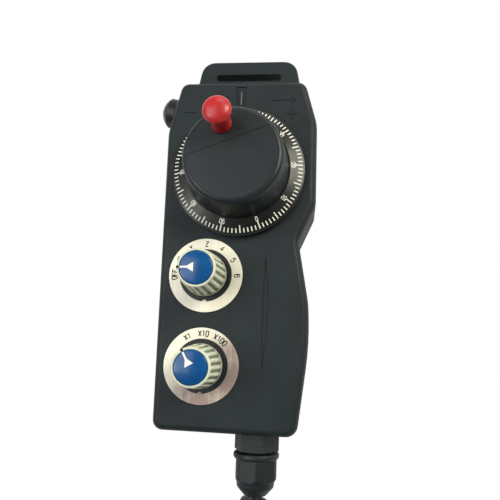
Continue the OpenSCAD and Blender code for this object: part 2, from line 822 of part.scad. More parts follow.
module main_board() color([0.1, 0.35, 0.2]) at_case() {
    difference() {
        translate([board_left, board_low, board_z])
            cube([board_right - board_left, board_high - board_low, board_t]);
        board_posts() translate([0, 0, board_z - 1]) cylinder(r = 1.6, h = 4);
    }
    board_posts() translate([0, 0, wall]) ring(3, 1.4, board_z - wall);
}

module terminal_block() color([0.2, 0.45, 0.3]) at_case() {
    difference() {
        translate([board_right - 30, board_low + 3, board_z + board_t]) cube([24, 9, 8]);
        for (k = [0:5]) translate([board_right - 28.4 + k * 4, board_low + 5, board_z + 6])
            cube([2.4, 5, 5]);
    }
}

module gland_body() color([0.13, 0.14, 0.15]) at_gland() {
    difference() {
        union() {
            rotate(8) translate([0, 0, 0.1]) intersection() {
                hexagon(gland_af, gland_hex - 0.1);
                rotate_extrude() polygon([
                    [0, 0], [gland_af / 2 + 0.5, 0], [gland_af, 2],
                    [gland_af, gland_hex - 2], [gland_af / 2 + 0.5, gland_hex], [0, gland_hex]
                ]);
            }
            translate([0, 0, -wall - 7]) cylinder(r = 9.2, h = wall + 7.2);
            translate([0, 0, gland_hex - 0.1]) cylinder(r = 8.8, h = 6);
        }
        translate([0, 0, -wall - 8]) cylinder(r = 5.2, h = 60);
        translate([0, 0, gland_hex - 6]) cylinder(r = 7, h = 20);
    }
}

module gland_locknut() color([0.13, 0.14, 0.15]) at_gland() {
    translate([0, 0, -wall - 5]) difference() {
        hexagon(23, 5 - gap);
        translate([0, 0, -1]) cylinder(r = 9.25, h = 8);
    }
}

module gland_seal() color([0.05, 0.05, 0.05]) at_gland() {
    translate([0, 0, gland_hex - 5.8]) difference() {
        cylinder(r = 6.9, h = 13.5);
        translate([0, 0, -1]) cylinder(d = cord_d, h = 20);
    }
}

// Clamping nut: collar, hexagonal grip and rounded mouth
module gland_nut() color([0.12, 0.13, 0.14]) at_gland() {
    length = gland_nut_len;
    body_r = 0.54 * gland_af;
    translate([0, 0, gland_hex + gland_slack]) difference() {
        union() {
            rotate_extrude() polygon([
                [0, 0], [body_r + 0.4, 0], [body_r + 0.9, 0.8], [body_r + 0.9, 2.4],
                [body_r + 0.2, 3.4], [0, 3.4]
            ]);
            rotate(20) intersection() {
                translate([0, 0, 3]) hexagon(gland_af, length - 3);
                rotate_extrude() polygon([
                    [0, 0], [body_r, 2], [body_r, 0.6 * length], [0.89 * body_r, 0.68 * length],
                    [0.86 * body_r, 0.8 * length], [0.77 * body_r, 0.86 * length],
                    [0.56 * body_r, 0.98 * length], [0.53 * body_r, length], [0, length]
                ]);
            }
        }
        translate([0, 0, -1]) cylinder(r = 8.85, h = 6);
        translate([0, 0, 4]) cylinder(r = 7, h = 6);
        translate([0, 0, 8]) cylinder(r = cord_d / 2 + 0.6, h = 20);
    }
}

module cord_lead() color([0.1, 0.1, 0.1]) at_gland() {
    inside = wall + 8;
    translate([0, 0, -inside])
        cylinder(d = cord_d, h = -curl_route[0][1] - gland_y + inside, $fn = 24);
}

module cord_curl() color([0.1, 0.1, 0.1]) at_case() cord_tube(curl_route, curl_d, 12);

module cord_tail() color([0.1, 0.1, 0.1]) at_case() cord_tube(tail_route, cord_d, 10);

// Round connector: local +Z runs from the cord to the pins
module plug_shell() color([0.6, 0.6, 0.62]) at_plug() {
    difference() {
        rotate_extrude() polygon([
            [0, 9], [7.5, 9], [8.5, 11], [8.5, 15], [plug_body_r, 19], [plug_body_r, 44],
            [plug_body_r - 1.5, 46], [plug_body_r - 1.5, 52], [0, 52]
        ]);
        translate([0, 0, 8]) cylinder(r = 5, h = 50);
        translate([0, 0, 30]) cylinder(r = plug_body_r - 3, h = 30);
    }
}

module plug_ring() color([0.5, 0.5, 0.52]) at_plug() {
    grooves = 24;
    difference() {
        translate([0, 0, 36]) cylinder(r = plug_body_r + 2.2, h = 15);
        translate([0, 0, 35]) cylinder(r = plug_body_r + 0.1, h = 11.3);
        translate([0, 0, 40]) cylinder(r = plug_body_r - 1.4, h = 20);
        for (k = [0:grooves - 1]) rotate(k * 360 / grooves)
            translate([plug_body_r + 2.5, 0, 38]) cylinder(r = 0.7, h = 11, $fn = 16);
    }
}

module plug_insert() color([0.1, 0.1, 0.1]) at_plug() {
    translate([0, 0, 32]) cylinder(r = plug_body_r - 3, h = 14);
}

module plug_pins() color([0.8, 0.65, 0.3]) at_plug() {
    for (k = [0:8]) rotate(k * 40) translate([5.6, 0, 46]) cylinder(r = 0.6, h = 5);
    for (k = [0:3]) rotate(k * 90) translate([2.4, 0, 46]) cylinder(r = 0.6, h = 5);
}

module plug_clamp() color([0.1, 0.1, 0.1]) at_plug() {
    difference() {
        rotate_extrude() polygon([[0, 0], [5, 0], [7.4, 3], [7.4, 9], [0, 9]]);
        translate([0, 0, -1]) cylinder(d = cord_d, h = 20);
    }
}

front_shell();
rear_cover();
case_gasket();
case_screws();
wheel_base();
base_screws();
front_bearing();
rear_bearing();
wheel_shaft();
encoder_disc();
encoder_board();
click_ring();
click_spring();
handwheel();
scale_ring();
wheel_cover();
wheel_bolt();
handle_spindle();
crank_handle();
axis_plate();
axis_skirt();
axis_nut();
axis_knob();
axis_cap();
axis_pointer();
axis_shaft();
axis_switch();
axis_wafer();
step_plate();
step_skirt();
step_nut();
step_knob();
step_cap();
step_pointer();
step_shaft();
step_switch();
step_wafer();
button_bezel();
button_nut();
button_cap();
button_switch();
main_board();
terminal_block();
gland_body();
gland_locknut();
gland_seal();
gland_nut();
cord_lead();
cord_curl();
cord_tail();
plug_shell();
plug_ring();
plug_insert();
plug_pins();
plug_clamp();
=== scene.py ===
"""Looks of a handheld handwheel pendant.

The finishes, printed marks, curly cord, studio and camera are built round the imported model.
Sizes are in millimetres, unless a docstring says metres, and every mesh is built in metres.
"""

import json
import logging
import math
from dataclasses import dataclass, replace
from enum import Enum
from functools import cached_property, partial
from typing import Any, Callable, Mapping, Sequence, Union

import bpy
from mathutils import Euler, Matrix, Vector

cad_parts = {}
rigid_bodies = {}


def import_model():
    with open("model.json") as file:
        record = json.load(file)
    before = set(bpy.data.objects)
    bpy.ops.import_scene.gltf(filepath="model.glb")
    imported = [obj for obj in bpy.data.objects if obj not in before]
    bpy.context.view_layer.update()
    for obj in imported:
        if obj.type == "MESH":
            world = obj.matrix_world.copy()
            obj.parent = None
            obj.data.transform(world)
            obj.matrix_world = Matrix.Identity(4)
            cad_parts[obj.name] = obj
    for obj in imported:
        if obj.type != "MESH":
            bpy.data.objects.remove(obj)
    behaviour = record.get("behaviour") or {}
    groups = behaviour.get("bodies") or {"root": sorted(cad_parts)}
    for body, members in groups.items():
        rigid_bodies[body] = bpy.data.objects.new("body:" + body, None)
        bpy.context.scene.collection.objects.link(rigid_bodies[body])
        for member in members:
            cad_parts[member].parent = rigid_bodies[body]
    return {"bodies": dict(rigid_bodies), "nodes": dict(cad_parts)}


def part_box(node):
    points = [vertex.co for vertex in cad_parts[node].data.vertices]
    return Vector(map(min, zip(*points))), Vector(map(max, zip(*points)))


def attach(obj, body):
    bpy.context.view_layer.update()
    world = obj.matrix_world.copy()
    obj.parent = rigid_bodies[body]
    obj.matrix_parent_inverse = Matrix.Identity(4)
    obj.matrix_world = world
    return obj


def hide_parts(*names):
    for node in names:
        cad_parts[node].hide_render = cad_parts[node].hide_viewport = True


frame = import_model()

MM = 0.001
LOG = logging.getLogger("pendant")

Colour = tuple[float, float, float]
Point = tuple[float, float, float]
Line = Sequence[tuple[float, float]]
Surface = Callable[[float, float, float], Vector]

WHITE: Colour = (1.0, 1.0, 1.0)
# How far a raised or printed mark reaches into its surface
ROOT = 0.04
# Least cosine that a strip's half width is divided by where the strip bends
MITRE = 0.55
# How often a line's corners are cut to make it a curve
CORNER_CUTS = 2
# Angle in degrees above which an edge counts as sharp
CREASE = 32.0


class Body(Enum):
    """The bodies that the new pieces ride on."""

    CASE = "case"
    WHEEL = "wheel"
    AXIS = "axis_selector"
    STEP = "step_selector"


class Slot(Enum):
    """The material slots of the record."""

    CASE = "case_plastic"
    BLACK = "black_plastic"
    WHEEL = "wheel_plastic"
    SCALE = "scale_black"
    PLATE = "plate_metal"
    GRIP = "grip_grey"
    CAP = "cap_blue"
    WHITE = "mark_white"
    RED = "handle_red"
    STEEL = "steel"
    BRASS = "brass"
    RUBBER = "rubber"
    BOARD = "board"
    WAFER = "wafer"
    CORD = "cord_rubber"
    PLUG = "plug_metal"


def linear(*screen: int) -> Colour:
    """Turns a screen colour, red, green and blue up to 255, into the linear one of shaders."""
    parts = [value / 255 for value in screen]
    return tuple(p / 12.92 if p <= 0.04045 else ((p + 0.055) / 1.055) ** 2.4 for p in parts)


class Wire:
    """A node's output that takes part in sums like a plain number."""

    def __init__(self, graph: "Graph", socket: bpy.types.NodeSocket) -> None:
        """Keeps the socket and the graph it belongs to."""
        self.graph = graph
        self.socket = socket

    def __add__(self, other: "Feed") -> "Wire":
        """Sum of this and another value."""
        return self.graph.math("ADD", self, other)

    def __radd__(self, other: "Feed") -> "Wire":
        """Sum with this value on the right."""
        return self.graph.math("ADD", other, self)

    def __sub__(self, other: "Feed") -> "Wire":
        """This value less another."""
        return self.graph.math("SUBTRACT", self, other)

    def __rsub__(self, other: "Feed") -> "Wire":
        """Another value less this one."""
        return self.graph.math("SUBTRACT", other, self)

    def __mul__(self, other: "Feed") -> "Wire":
        """Product of this and another value."""
        return self.graph.math("MULTIPLY", self, other)

    def __rmul__(self, other: "Feed") -> "Wire":
        """Product with this value on the right."""
        return self.graph.math("MULTIPLY", other, self)

    def fit(self, low: float, high: float, start: float = 0.0, end: float = 1.0) -> "Wire":
        """Carries the range low..high smoothly to start..end and holds it there.

        Args:
            low: Value that becomes start.
            high: Value that becomes end.
            start: Result at low.
            end: Result at high.

        Returns:
            The fitted value.
        """
        return self.graph.wire(
            "ShaderNodeMapRange",
            {"interpolation_type": "SMOOTHSTEP"},
            {0: self, 1: low, 2: high, 3: start, 4: end},
        )


Feed = Union[Wire, float, tuple]
Inputs = Mapping[Union[int, str], Feed]


class Graph:
    """The node tree of one material or of the surroundings."""

    def __init__(self, owner: Union[bpy.types.Material, bpy.types.World]) -> None:
        """Empties the owner's tree.

        Args:
            owner: The material, or the surroundings, that the nodes belong to.
        """
        owner.use_nodes = True
        self.tree = owner.node_tree
        self.tree.nodes.clear()

    @cached_property
    def place(self) -> Wire:
        """Object coordinates."""
        return self.wire("ShaderNodeTexCoord", output="Object")

    def node(
        self,
        kind: str,
        settings: Mapping[str, Any] | None = None,
        inputs: Inputs | None = None,
    ) -> bpy.types.Node:
        """Adds any node.

        Args:
            kind: Blender's name of the node type.
            settings: Properties to set on the node.
            inputs: Wires to link, or constants to set, by socket.

        Returns:
            The new node.
        """
        node = self.tree.nodes.new(kind)
        for key, value in (settings or {}).items():
            setattr(node, key, value)
        for key, value in (inputs or {}).items():
            socket = node.inputs[key]
            if isinstance(value, Wire):
                self.tree.links.new(value.socket, socket)
            elif socket.type == "RGBA":
                socket.default_value = (*value[:3], 1.0)
            else:
                socket.default_value = value
        return node

    def wire(
        self,
        kind: str,
        settings: Mapping[str, Any] | None = None,
        inputs: Inputs | None = None,
        output: Union[int, str] = 0,
    ) -> Wire:
        """Adds any node, as node does, and returns one of its outputs."""
        return Wire(self, self.node(kind, settings, inputs).outputs[output])

    def math(self, operation: str, first: Feed, second: Feed = 0.0) -> Wire:
        """Adds one Math node with up to two values."""
        return self.wire("ShaderNodeMath", {"operation": operation}, {0: first, 1: second})

    def coordinate(self, side: int) -> Wire:
        """Object coordinate along X, Y or Z, as 0, 1 or 2."""
        return self.wire("ShaderNodeSeparateXYZ", {}, {0: self.place}, side)

    def scaled(self, size: float, stretch: Point = (1.0, 1.0, 1.0)) -> Wire:
        """Coordinates for a pattern with features of a size, finer by stretch along each axis."""
        factors = {0: self.place, 1: tuple(part / (size * MM) for part in stretch)}
        return self.wire("ShaderNodeVectorMath", {"operation": "MULTIPLY"}, factors)

    def noise(self, size: float, detail: float = 2.0, stretch: Point = (1.0, 1.0, 1.0)) -> Wire:
        """Soft noise between 0 and 1 with features of a size and octaves of finer detail."""
        inputs = {"Vector": self.scaled(size, stretch), "Scale": 1.0, "Detail": detail}
        return self.wire("ShaderNodeTexNoise", {}, inputs)

    def cells(self, size: float) -> Wire:
        """Distance to the nearest of many scattered points, size apart."""
        return self.wire("ShaderNodeTexVoronoi", {}, {"Vector": self.scaled(size), "Scale": 1.0})

    def tint(self, factor: Feed, first: Feed, second: Feed) -> Wire:
        """Mixes two colours by a factor."""
        inputs = {0: factor, 6: first, 7: second}
        return self.wire("ShaderNodeMix", {"data_type": "RGBA"}, inputs, 2)

    def bump(self, height: Wire, depth: float, under: Wire | None = None) -> Wire:
        """Turns a height pattern into a normal.

        Args:
            height: Pattern between 0 and 1.
            depth: Real height of the pattern.
            under: A normal to build on.

        Returns:
            The bent normal.
        """
        inputs = {"Height": height, "Distance": depth * MM, "Strength": 1.0}
        if under is not None:
            inputs["Normal"] = under
        return self.wire("ShaderNodeBump", {}, inputs)

    def seen(self, otherwise: Wire, straight: Wire) -> Wire:
        """One shader where the camera looks straight at it, and another for all else."""
        camera = self.wire("ShaderNodeLightPath", output="Is Camera Ray")
        return self.wire("ShaderNodeMixShader", {}, {0: camera, 1: otherwise, 2: straight})


@dataclass(frozen=True)
class Finish:
    """What every finish has: its slot and its main colour."""

    name: str
    slot: Slot
    colour: Colour

    def build(self) -> bpy.types.Material:
        """Makes the material, or finds it if it was made before.

        Returns:
            The material.
        """
        name = f"finish_{self.name}"
        made = bpy.data.materials.get(name)
        if made is None:
            made = bpy.data.materials.new(name)
            graph = Graph(made)
            shader = graph.wire("ShaderNodeBsdfPrincipled", {}, self.surface(graph))
            graph.node("ShaderNodeOutputMaterial", {}, {"Surface": shader})
        return made

    def surface(self, graph: Graph) -> Inputs:
        """Fills the graph; each kind of finish has its own.

        Args:
            graph: The material's nodes.

        Returns:
            The feeds of its shader.
        """
        raise NotImplementedError

    def toned(self, amount: float) -> Colour:
        """The main colour, lighter or darker by a factor."""
        return tuple(part * amount for part in self.colour)


@dataclass(frozen=True)
class MouldedPlastic(Finish):
    """Satin moulded plastic with an eroded grain, handling polish and dust."""

    roughness: float = 0.5
    grain: float = 0.5
    depth: float = 0.02
    level: float = 0.3
    dust: float = 0.05
    dust_colour: Colour = linear(190, 186, 176)

    def surface(self, graph: Graph) -> Inputs:
        """Grain in the normal, polish in the roughness, flow and dust in the colour.

        Args:
            graph: The material's nodes.

        Returns:
            The feeds of its shader.
        """
        flow = graph.noise(38.0, detail=3.0)
        polish = graph.noise(14.0, detail=4.0)
        grain = graph.noise(self.grain, detail=3.0)
        pores = graph.cells(self.grain * 2.2)
        scuffs = graph.noise(9.0, detail=5.0, stretch=(1.0, 14.0, 3.0)).fit(0.66, 0.74)
        specks = graph.noise(2.2, detail=6.0).fit(0.6, 0.78)
        dust = specks * graph.noise(30.0).fit(0.42, 0.62)
        base = graph.tint(flow.fit(0.3, 0.7), self.toned(0.88), self.toned(1.14))
        worn = graph.tint(scuffs * 0.13, base, self.toned(1.9))
        rough = self.roughness + (polish - 0.5) * 0.16 + (grain - 0.5) * 0.1
        return {
            "Base Color": graph.tint(dust * self.dust, worn, self.dust_colour),
            "Roughness": rough.fit(0.05, 0.95, 0.05, 0.95),
            "Specular IOR Level": self.level,
            "Normal": graph.bump(grain * 0.7 + pores * 0.3, self.depth),
        }


@dataclass(frozen=True)
class GlossPlastic(Finish):
    """Glossy moulded plastic with a faint ripple, smears and hairline scratches."""

    roughness: float = 0.3
    ripple: float = 0.01
    level: float = 0.3
    coat: float = 0.03
    glow: float = 0.0

    def surface(self, graph: Graph) -> Inputs:
        """Ripple in the normal, smears and hairlines in the roughness, depth in the colour.

        Args:
            graph: The material's nodes.

        Returns:
            The feeds of its shader.
        """
        smears = graph.noise(4.5, detail=4.0)
        hairs = graph.noise(3.0, detail=4.0, stretch=(1.0, 26.0, 5.0)).fit(0.62, 0.7)
        cloud = graph.noise(9.0)
        ripple = graph.bump(graph.noise(5.0, detail=1.0), self.ripple)
        return {
            "Base Color": graph.tint(cloud.fit(0.3, 0.7), self.toned(0.9), self.toned(1.1)),
            "Roughness": self.roughness + smears.fit(0.35, 0.75) * 0.05 + hairs * 0.08,
            "Specular IOR Level": self.level,
            "Coat Weight": self.coat,
            "Coat Roughness": 0.08,
            "Subsurface Weight": self.glow,
            "Subsurface Radius": (0.6, 0.25, 0.2),
            "Subsurface Scale": 2.0 * MM,
            "Normal": graph.bump(graph.noise(0.4), 0.003, ripple),
        }


@dataclass(frozen=True)
class GripPlastic(Finish):
    """Matt filled plastic with patches of dirt, and painted shade in its flutes, towards its foot
    and on its rim.

    Axis, foot and rim are in metres.
    """

    # Colour of the dirt patches, and also of the painted shade in the flutes, at the foot and on
    # the rim
    dirt: Colour = (0.05, 0.055, 0.045)
    roughness: float = 0.5
    axis: tuple[float, float] = (0.0, 0.0)
    foot: float = 0.0
    rim: float = 1.0
    flutes: int = 18

    def hollows(self, graph: Graph, level: Wire) -> Wire:
        """How deep in a flute each place lies, from 0 on a ridge to 1 in a hollow, as the mask of
        the painted flute shade.

        Args:
            graph: The material's nodes.
            level: Height of each place.

        Returns:
            The depth.
        """
        north, east = graph.coordinate(1) - self.axis[1], graph.coordinate(0) - self.axis[0]
        angle = graph.math("ARCTAN2", north, east)
        wave = 0.5 - 0.5 * graph.math("COSINE", angle * self.flutes)
        above = level.fit(self.foot - 0.5 * MM, self.foot + 0.8 * MM)
        return wave * above * level.fit(self.rim - 1.1 * MM, self.rim + 0.5 * MM, 1.0, 0.25)

    def surface(self, graph: Graph) -> Inputs:
        """Dirt patches and painted shade in the colour, pores in the normal.

        Args:
            graph: The material's nodes.

        Returns:
            The feeds of its shader.
        """
        speckle = graph.noise(0.8, detail=4.0)
        patches = graph.noise(6.0, detail=3.0)
        level = graph.coordinate(2)
        grime = (patches * 0.6 + speckle * 0.4).fit(0.42, 0.72)
        clean = graph.tint(speckle, self.toned(0.86), self.toned(1.12))
        soiled = graph.tint(grime * 0.3, clean, self.dirt)
        # Painted shade: darker towards the grip's foot, with a ragged edge
        low = (level + (patches - 0.5) * 4 * MM).fit(self.foot + 7 * MM, self.foot)
        # Painted shade: darker on the rim's top face, which faces the light
        high = level.fit(self.rim - 0.4 * MM, self.rim + 0.9 * MM)
        shaded_foot_and_rim = graph.tint(low * 0.45 + high * 0.26, soiled, self.dirt)
        # Painted shade in the flute hollows, a little ragged
        hollow = (self.hollows(graph, level) + (speckle - 0.5) * 0.4).fit(0.35, 0.8)
        return {
            "Base Color": graph.tint(hollow * 0.74, shaded_foot_and_rim, self.dirt),
            "Roughness": self.roughness + (speckle - 0.5) * 0.25,
            "Specular IOR Level": 0.45,
            "Normal": graph.bump(graph.cells(0.45) * 0.5 + speckle * 0.5, 0.025),
        }


@dataclass(frozen=True)
class BrushedMetal(Finish):
    """Brushed metal sheet with grain along one direction, fine scratches, and tarnish patches with
    painted shade.

    The centre is in metres; the tarnish, with painted shade and pinkish painted reflection, grows
    across it, towards the lower right.
    """

    roughness: float = 0.5
    metallic: float = 0.1
    # Colour and amount of the tarnish patches and of the painted shade and reflection towards the
    # lower right
    stain: Colour = (0.3, 0.22, 0.2)
    stained: float = 0.25
    centre: tuple[float, float] = (0.0, 0.0)
    along: Point = (1.0, 0.03, 1.0)

    def surface(self, graph: Graph) -> Inputs:
        """Brushing in the normal, colour and roughness; tarnish and painted shade in the colour.

        Args:
            graph: The material's nodes.

        Returns:
            The feeds of its shader.
        """
        brush = graph.noise(0.22, detail=3.0, stretch=self.along)
        broad = graph.noise(1.6, stretch=self.along)
        patches = graph.noise(13.0).fit(0.25, 0.8) * self.stained
        east, north = (graph.coordinate(side) - self.centre[side] for side in (0, 1))
        # Painted shade and reflection: the tarnish only shows towards the lower right, which it
        # darkens and tints pink
        painted_shade_lower_right = (east * 0.75 - north * 0.66).fit(-0.02, 0.018)
        tarnish_and_painted_shade = (patches * 0.5 + broad * self.stained * 0.7) * painted_shade_lower_right
        shine = graph.tint(broad.fit(0.3, 0.7), self.toned(0.94), self.toned(1.04))
        streaks = graph.tint(brush.fit(0.35, 0.7) * 0.3, shine, self.toned(0.72))
        return {
            "Base Color": graph.tint(tarnish_and_painted_shade, streaks, self.stain),
            "Metallic": self.metallic,
            "Roughness": self.roughness + (brush - 0.5) * 0.24 + tarnish_and_painted_shade * 0.2,
            "Normal": graph.bump(brush, 0.006),
        }


@dataclass(frozen=True)
class TurnedMetal(Finish):
    """Plated or turned metal with a fine lathe grain and dull spots."""

    roughness: float = 0.3

    def surface(self, graph: Graph) -> Inputs:
        """Lathe grain in the normal, dull spots in the colour and roughness.

        Args:
            graph: The material's nodes.

        Returns:
            The feeds of its shader.
        """
        grain = graph.noise(0.3, detail=3.0)
        spots = graph.noise(3.5, detail=4.0).fit(0.55, 0.75)
        return {
            "Base Color": graph.tint(spots, self.colour, self.toned(0.6)),
            "Metallic": 1.0,
            "Roughness": self.roughness + spots * 0.25 + (grain - 0.5) * 0.12,
            "Normal": graph.bump(grain, 0.006),
        }


@dataclass(frozen=True)
class SoftRubber(Finish):
    """Rubber or cord jacket: matt, faintly wrinkled and dusty."""

    roughness: float = 0.55
    wrinkle: float = 0.03
    sheen: float = 0.15

    def surface(self, graph: Graph) -> Inputs:
        """Wrinkles and pores in the normal, bloom in the colour.

        Args:
            graph: The material's nodes.

        Returns:
            The feeds of its shader.
        """
        bloom = graph.noise(5.0, detail=4.0).fit(0.4, 0.75)
        pores = graph.noise(0.35, detail=3.0)
        folds = graph.noise(2.4)
        return {
            "Base Color": graph.tint(bloom * 0.5, self.colour, self.toned(1.8)),
            "Roughness": self.roughness + bloom * 0.18 + (pores - 0.5) * 0.15,
            "Sheen Weight": self.sheen,
            "Sheen Roughness": 0.5,
            "Normal": graph.bump(folds * 0.7 + pores * 0.3, self.wrinkle),
        }


@dataclass(frozen=True)
class PrintedInk(Finish):
    """Printed or filled marks, a little thin in places."""

    worn: Colour = (0.4, 0.4, 0.38)
    level: float = 0.4

    def surface(self, graph: Graph) -> Inputs:
        """Thin places in the colour, brush marks in the normal.

        Args:
            graph: The material's nodes.

        Returns:
            The feeds of its shader.
        """
        thin = graph.noise(1.2, detail=4.0).fit(0.52, 0.78)
        return {
            "Base Color": graph.tint(thin * 0.45, self.colour, self.worn),
            "Roughness": 0.45 + thin * 0.2,
            "Specular IOR Level": self.level,
            "Normal": graph.bump(graph.noise(0.3), 0.006),
        }


@dataclass(frozen=True)
class Laminate(Finish):
    """Circuit board or phenolic sheet: woven under a smooth lacquer."""

    thread: float = 0.5

    def surface(self, graph: Graph) -> Inputs:
        """Weave in the colour and the normal.

        Args:
            graph: The material's nodes.

        Returns:
            The feeds of its shader.
        """
        warp, weft = (
            graph.noise(self.thread, detail=1.0, stretch=stretch)
            for stretch in ((1.0, 6.0, 1.0), (6.0, 1.0, 1.0))
        )
        weave = warp * 0.5 + weft * 0.5
        return {
            "Base Color": graph.tint(weave.fit(0.4, 0.6), self.toned(0.8), self.toned(1.2)),
            "Roughness": 0.3 + weave * 0.2,
            "Coat Weight": 0.3,
            "Normal": graph.bump(weave, 0.01),
        }


@dataclass(frozen=True)
class Palette:
    """All finishes of the pendant."""

    case: Finish = MouldedPlastic(
        "case", Slot.CASE, linear(32, 38, 41), grain=0.55, depth=0.022, level=0.18,
    )
    # Lighter than the case: the painted highlight of the raised index ridge
    index: Finish = MouldedPlastic("index", Slot.CASE, linear(82, 90, 90), grain=0.4, depth=0.01)
    wheel: Finish = MouldedPlastic(
        "wheel", Slot.WHEEL, linear(26, 32, 35), roughness=0.44, depth=0.012,
    )
    fitting: Finish = MouldedPlastic(
        "fitting", Slot.BLACK, linear(21, 27, 30),
        roughness=0.48, grain=0.6, depth=0.018, level=0.34,
    )
    button: Finish = MouldedPlastic(
        "button", Slot.RUBBER, linear(23, 27, 30), roughness=0.42, depth=0.014, level=0.35,
    )
    scale: Finish = GlossPlastic(
        "scale", Slot.SCALE, linear(16, 17, 13),
        roughness=0.34, ripple=0.006, level=0.34, coat=0.04,
    )
    red: Finish = GlossPlastic(
        "red", Slot.RED, linear(170, 35, 38), roughness=0.31, ripple=0.012, level=0.38, glow=0.04,
    )
    blue: Finish = GlossPlastic("blue", Slot.CAP, linear(0, 68, 122), roughness=0.24, coat=0.07)
    grip: Finish = GripPlastic("grip", Slot.GRIP, linear(226, 230, 204))
    plate: Finish = BrushedMetal("plate", Slot.PLATE, linear(234, 230, 211))
    white: Finish = PrintedInk("white", Slot.WHITE, linear(226, 226, 214))
    # Black print, and also the painted shade laid in the cover's gap
    ink: Finish = PrintedInk(
        "ink", Slot.BLACK, linear(14, 14, 14), worn=(0.05, 0.045, 0.04), level=0.08,
    )
    steel: Finish = TurnedMetal("steel", Slot.STEEL, linear(190, 192, 196))
    brass: Finish = TurnedMetal("brass", Slot.BRASS, linear(206, 176, 104))
    plug: Finish = TurnedMetal("plug", Slot.PLUG, linear(170, 172, 176), roughness=0.34)
    rubber: Finish = SoftRubber("rubber", Slot.RUBBER, linear(24, 24, 25))
    cord: Finish = SoftRubber(
        "cord", Slot.CORD, linear(30, 31, 33), roughness=0.42, wrinkle=0.02, sheen=0.1,
    )
    board: Finish = Laminate("board", Slot.BOARD, linear(24, 92, 54))
    wafer: Finish = Laminate("wafer", Slot.WAFER, linear(150, 116, 74))


PALETTE = Palette()


def add(name: str, data: bpy.types.ID) -> bpy.types.Object:
    """Puts a new object into the scene.

    Args:
        name: Its name.
        data: Its mesh, curve, lamp or camera.

    Returns:
        The object.
    """
    piece = bpy.data.objects.new(name, data)
    bpy.context.scene.collection.objects.link(piece)
    return piece


def settle(piece: bpy.types.Object, body: Body, finish: Finish) -> None:
    """Finishes a new piece and hangs it on its body.

    Args:
        piece: The piece, already in place.
        body: The body that it rides on.
        finish: The finish of the whole piece.
    """
    piece.data.materials.clear()
    piece.data.materials.append(finish.build())
    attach(piece, body.value)
    LOG.info("%s rides on %s in %s", piece.name, body.value, finish.name)


def dress(finish: Finish, edge: float, *nodes: str, crease: float = CREASE) -> None:
    """Gives CAD nodes their finish, smooth curves and slightly rounded edges.

    Args:
        finish: The finish of the whole nodes.
        edge: Width of the rounded edges, or 0 to leave them sharp.
        nodes: The nodes' names.
        crease: Angle in degrees above which an edge that isn't rounded stays sharp.
    """
    for node in nodes:
        piece = frame["nodes"][node]
        for slot in piece.material_slots:
            slot.material = finish.build()
        attributes = piece.data.attributes
        for name in ("custom_normal", "sharp_face", "sharp_edge"):
            if name in attributes:
                attributes.remove(attributes[name])
        piece.modifiers.new("weld", "WELD").merge_threshold = 2e-6
        flat = piece.modifiers.new("flat", "DECIMATE")
        flat.decimate_type = "DISSOLVE"
        flat.angle_limit = math.radians(0.4)
        if edge > 0:
            soften(piece, edge)
        else:
            piece.modifiers.new("split", "EDGE_SPLIT").split_angle = math.radians(crease)
        piece.modifiers.new("normals", "WEIGHTED_NORMAL").weight = 80
        LOG.info("%s wears %s", node, finish.name)


def soften(piece: bpy.types.Object, edge: float) -> None:
    """Rounds a piece's sharp edges.

    Args:
        piece: The piece.
        edge: Width of the rounding.
    """
    bevel = piece.modifiers.new("edges", "BEVEL")
    bevel.width = edge * MM
    bevel.segments = 2
    bevel.limit_method = "ANGLE"
    bevel.angle_limit = math.radians(CREASE)
    bevel.use_clamp_overlap = False


def middle(node: str) -> Vector:
    """Centre of a CAD node's box, at its top."""
    low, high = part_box(node)
    return Vector(((low.x + high.x) / 2, (low.y + high.y) / 2, high.z))


def turned(centre: Vector, turn: float, across: float, up: float, height: float) -> Vector:
    """Point in a frame that is turned round an upright axis.

    Args:
        centre: The frame's origin, in metres.
        turn: Angle of the frame's across from +X, in radians.
        across: Distance along the frame's across.
        up: Distance along the frame's up, a quarter turn further.
        height: Distance over the origin.

    Returns:
        The point, in metres.
    """
    return centre + Vector((
        across * math.cos(turn) - up * math.sin(turn),
        across * math.sin(turn) + up * math.cos(turn),
        height,
    )) * MM


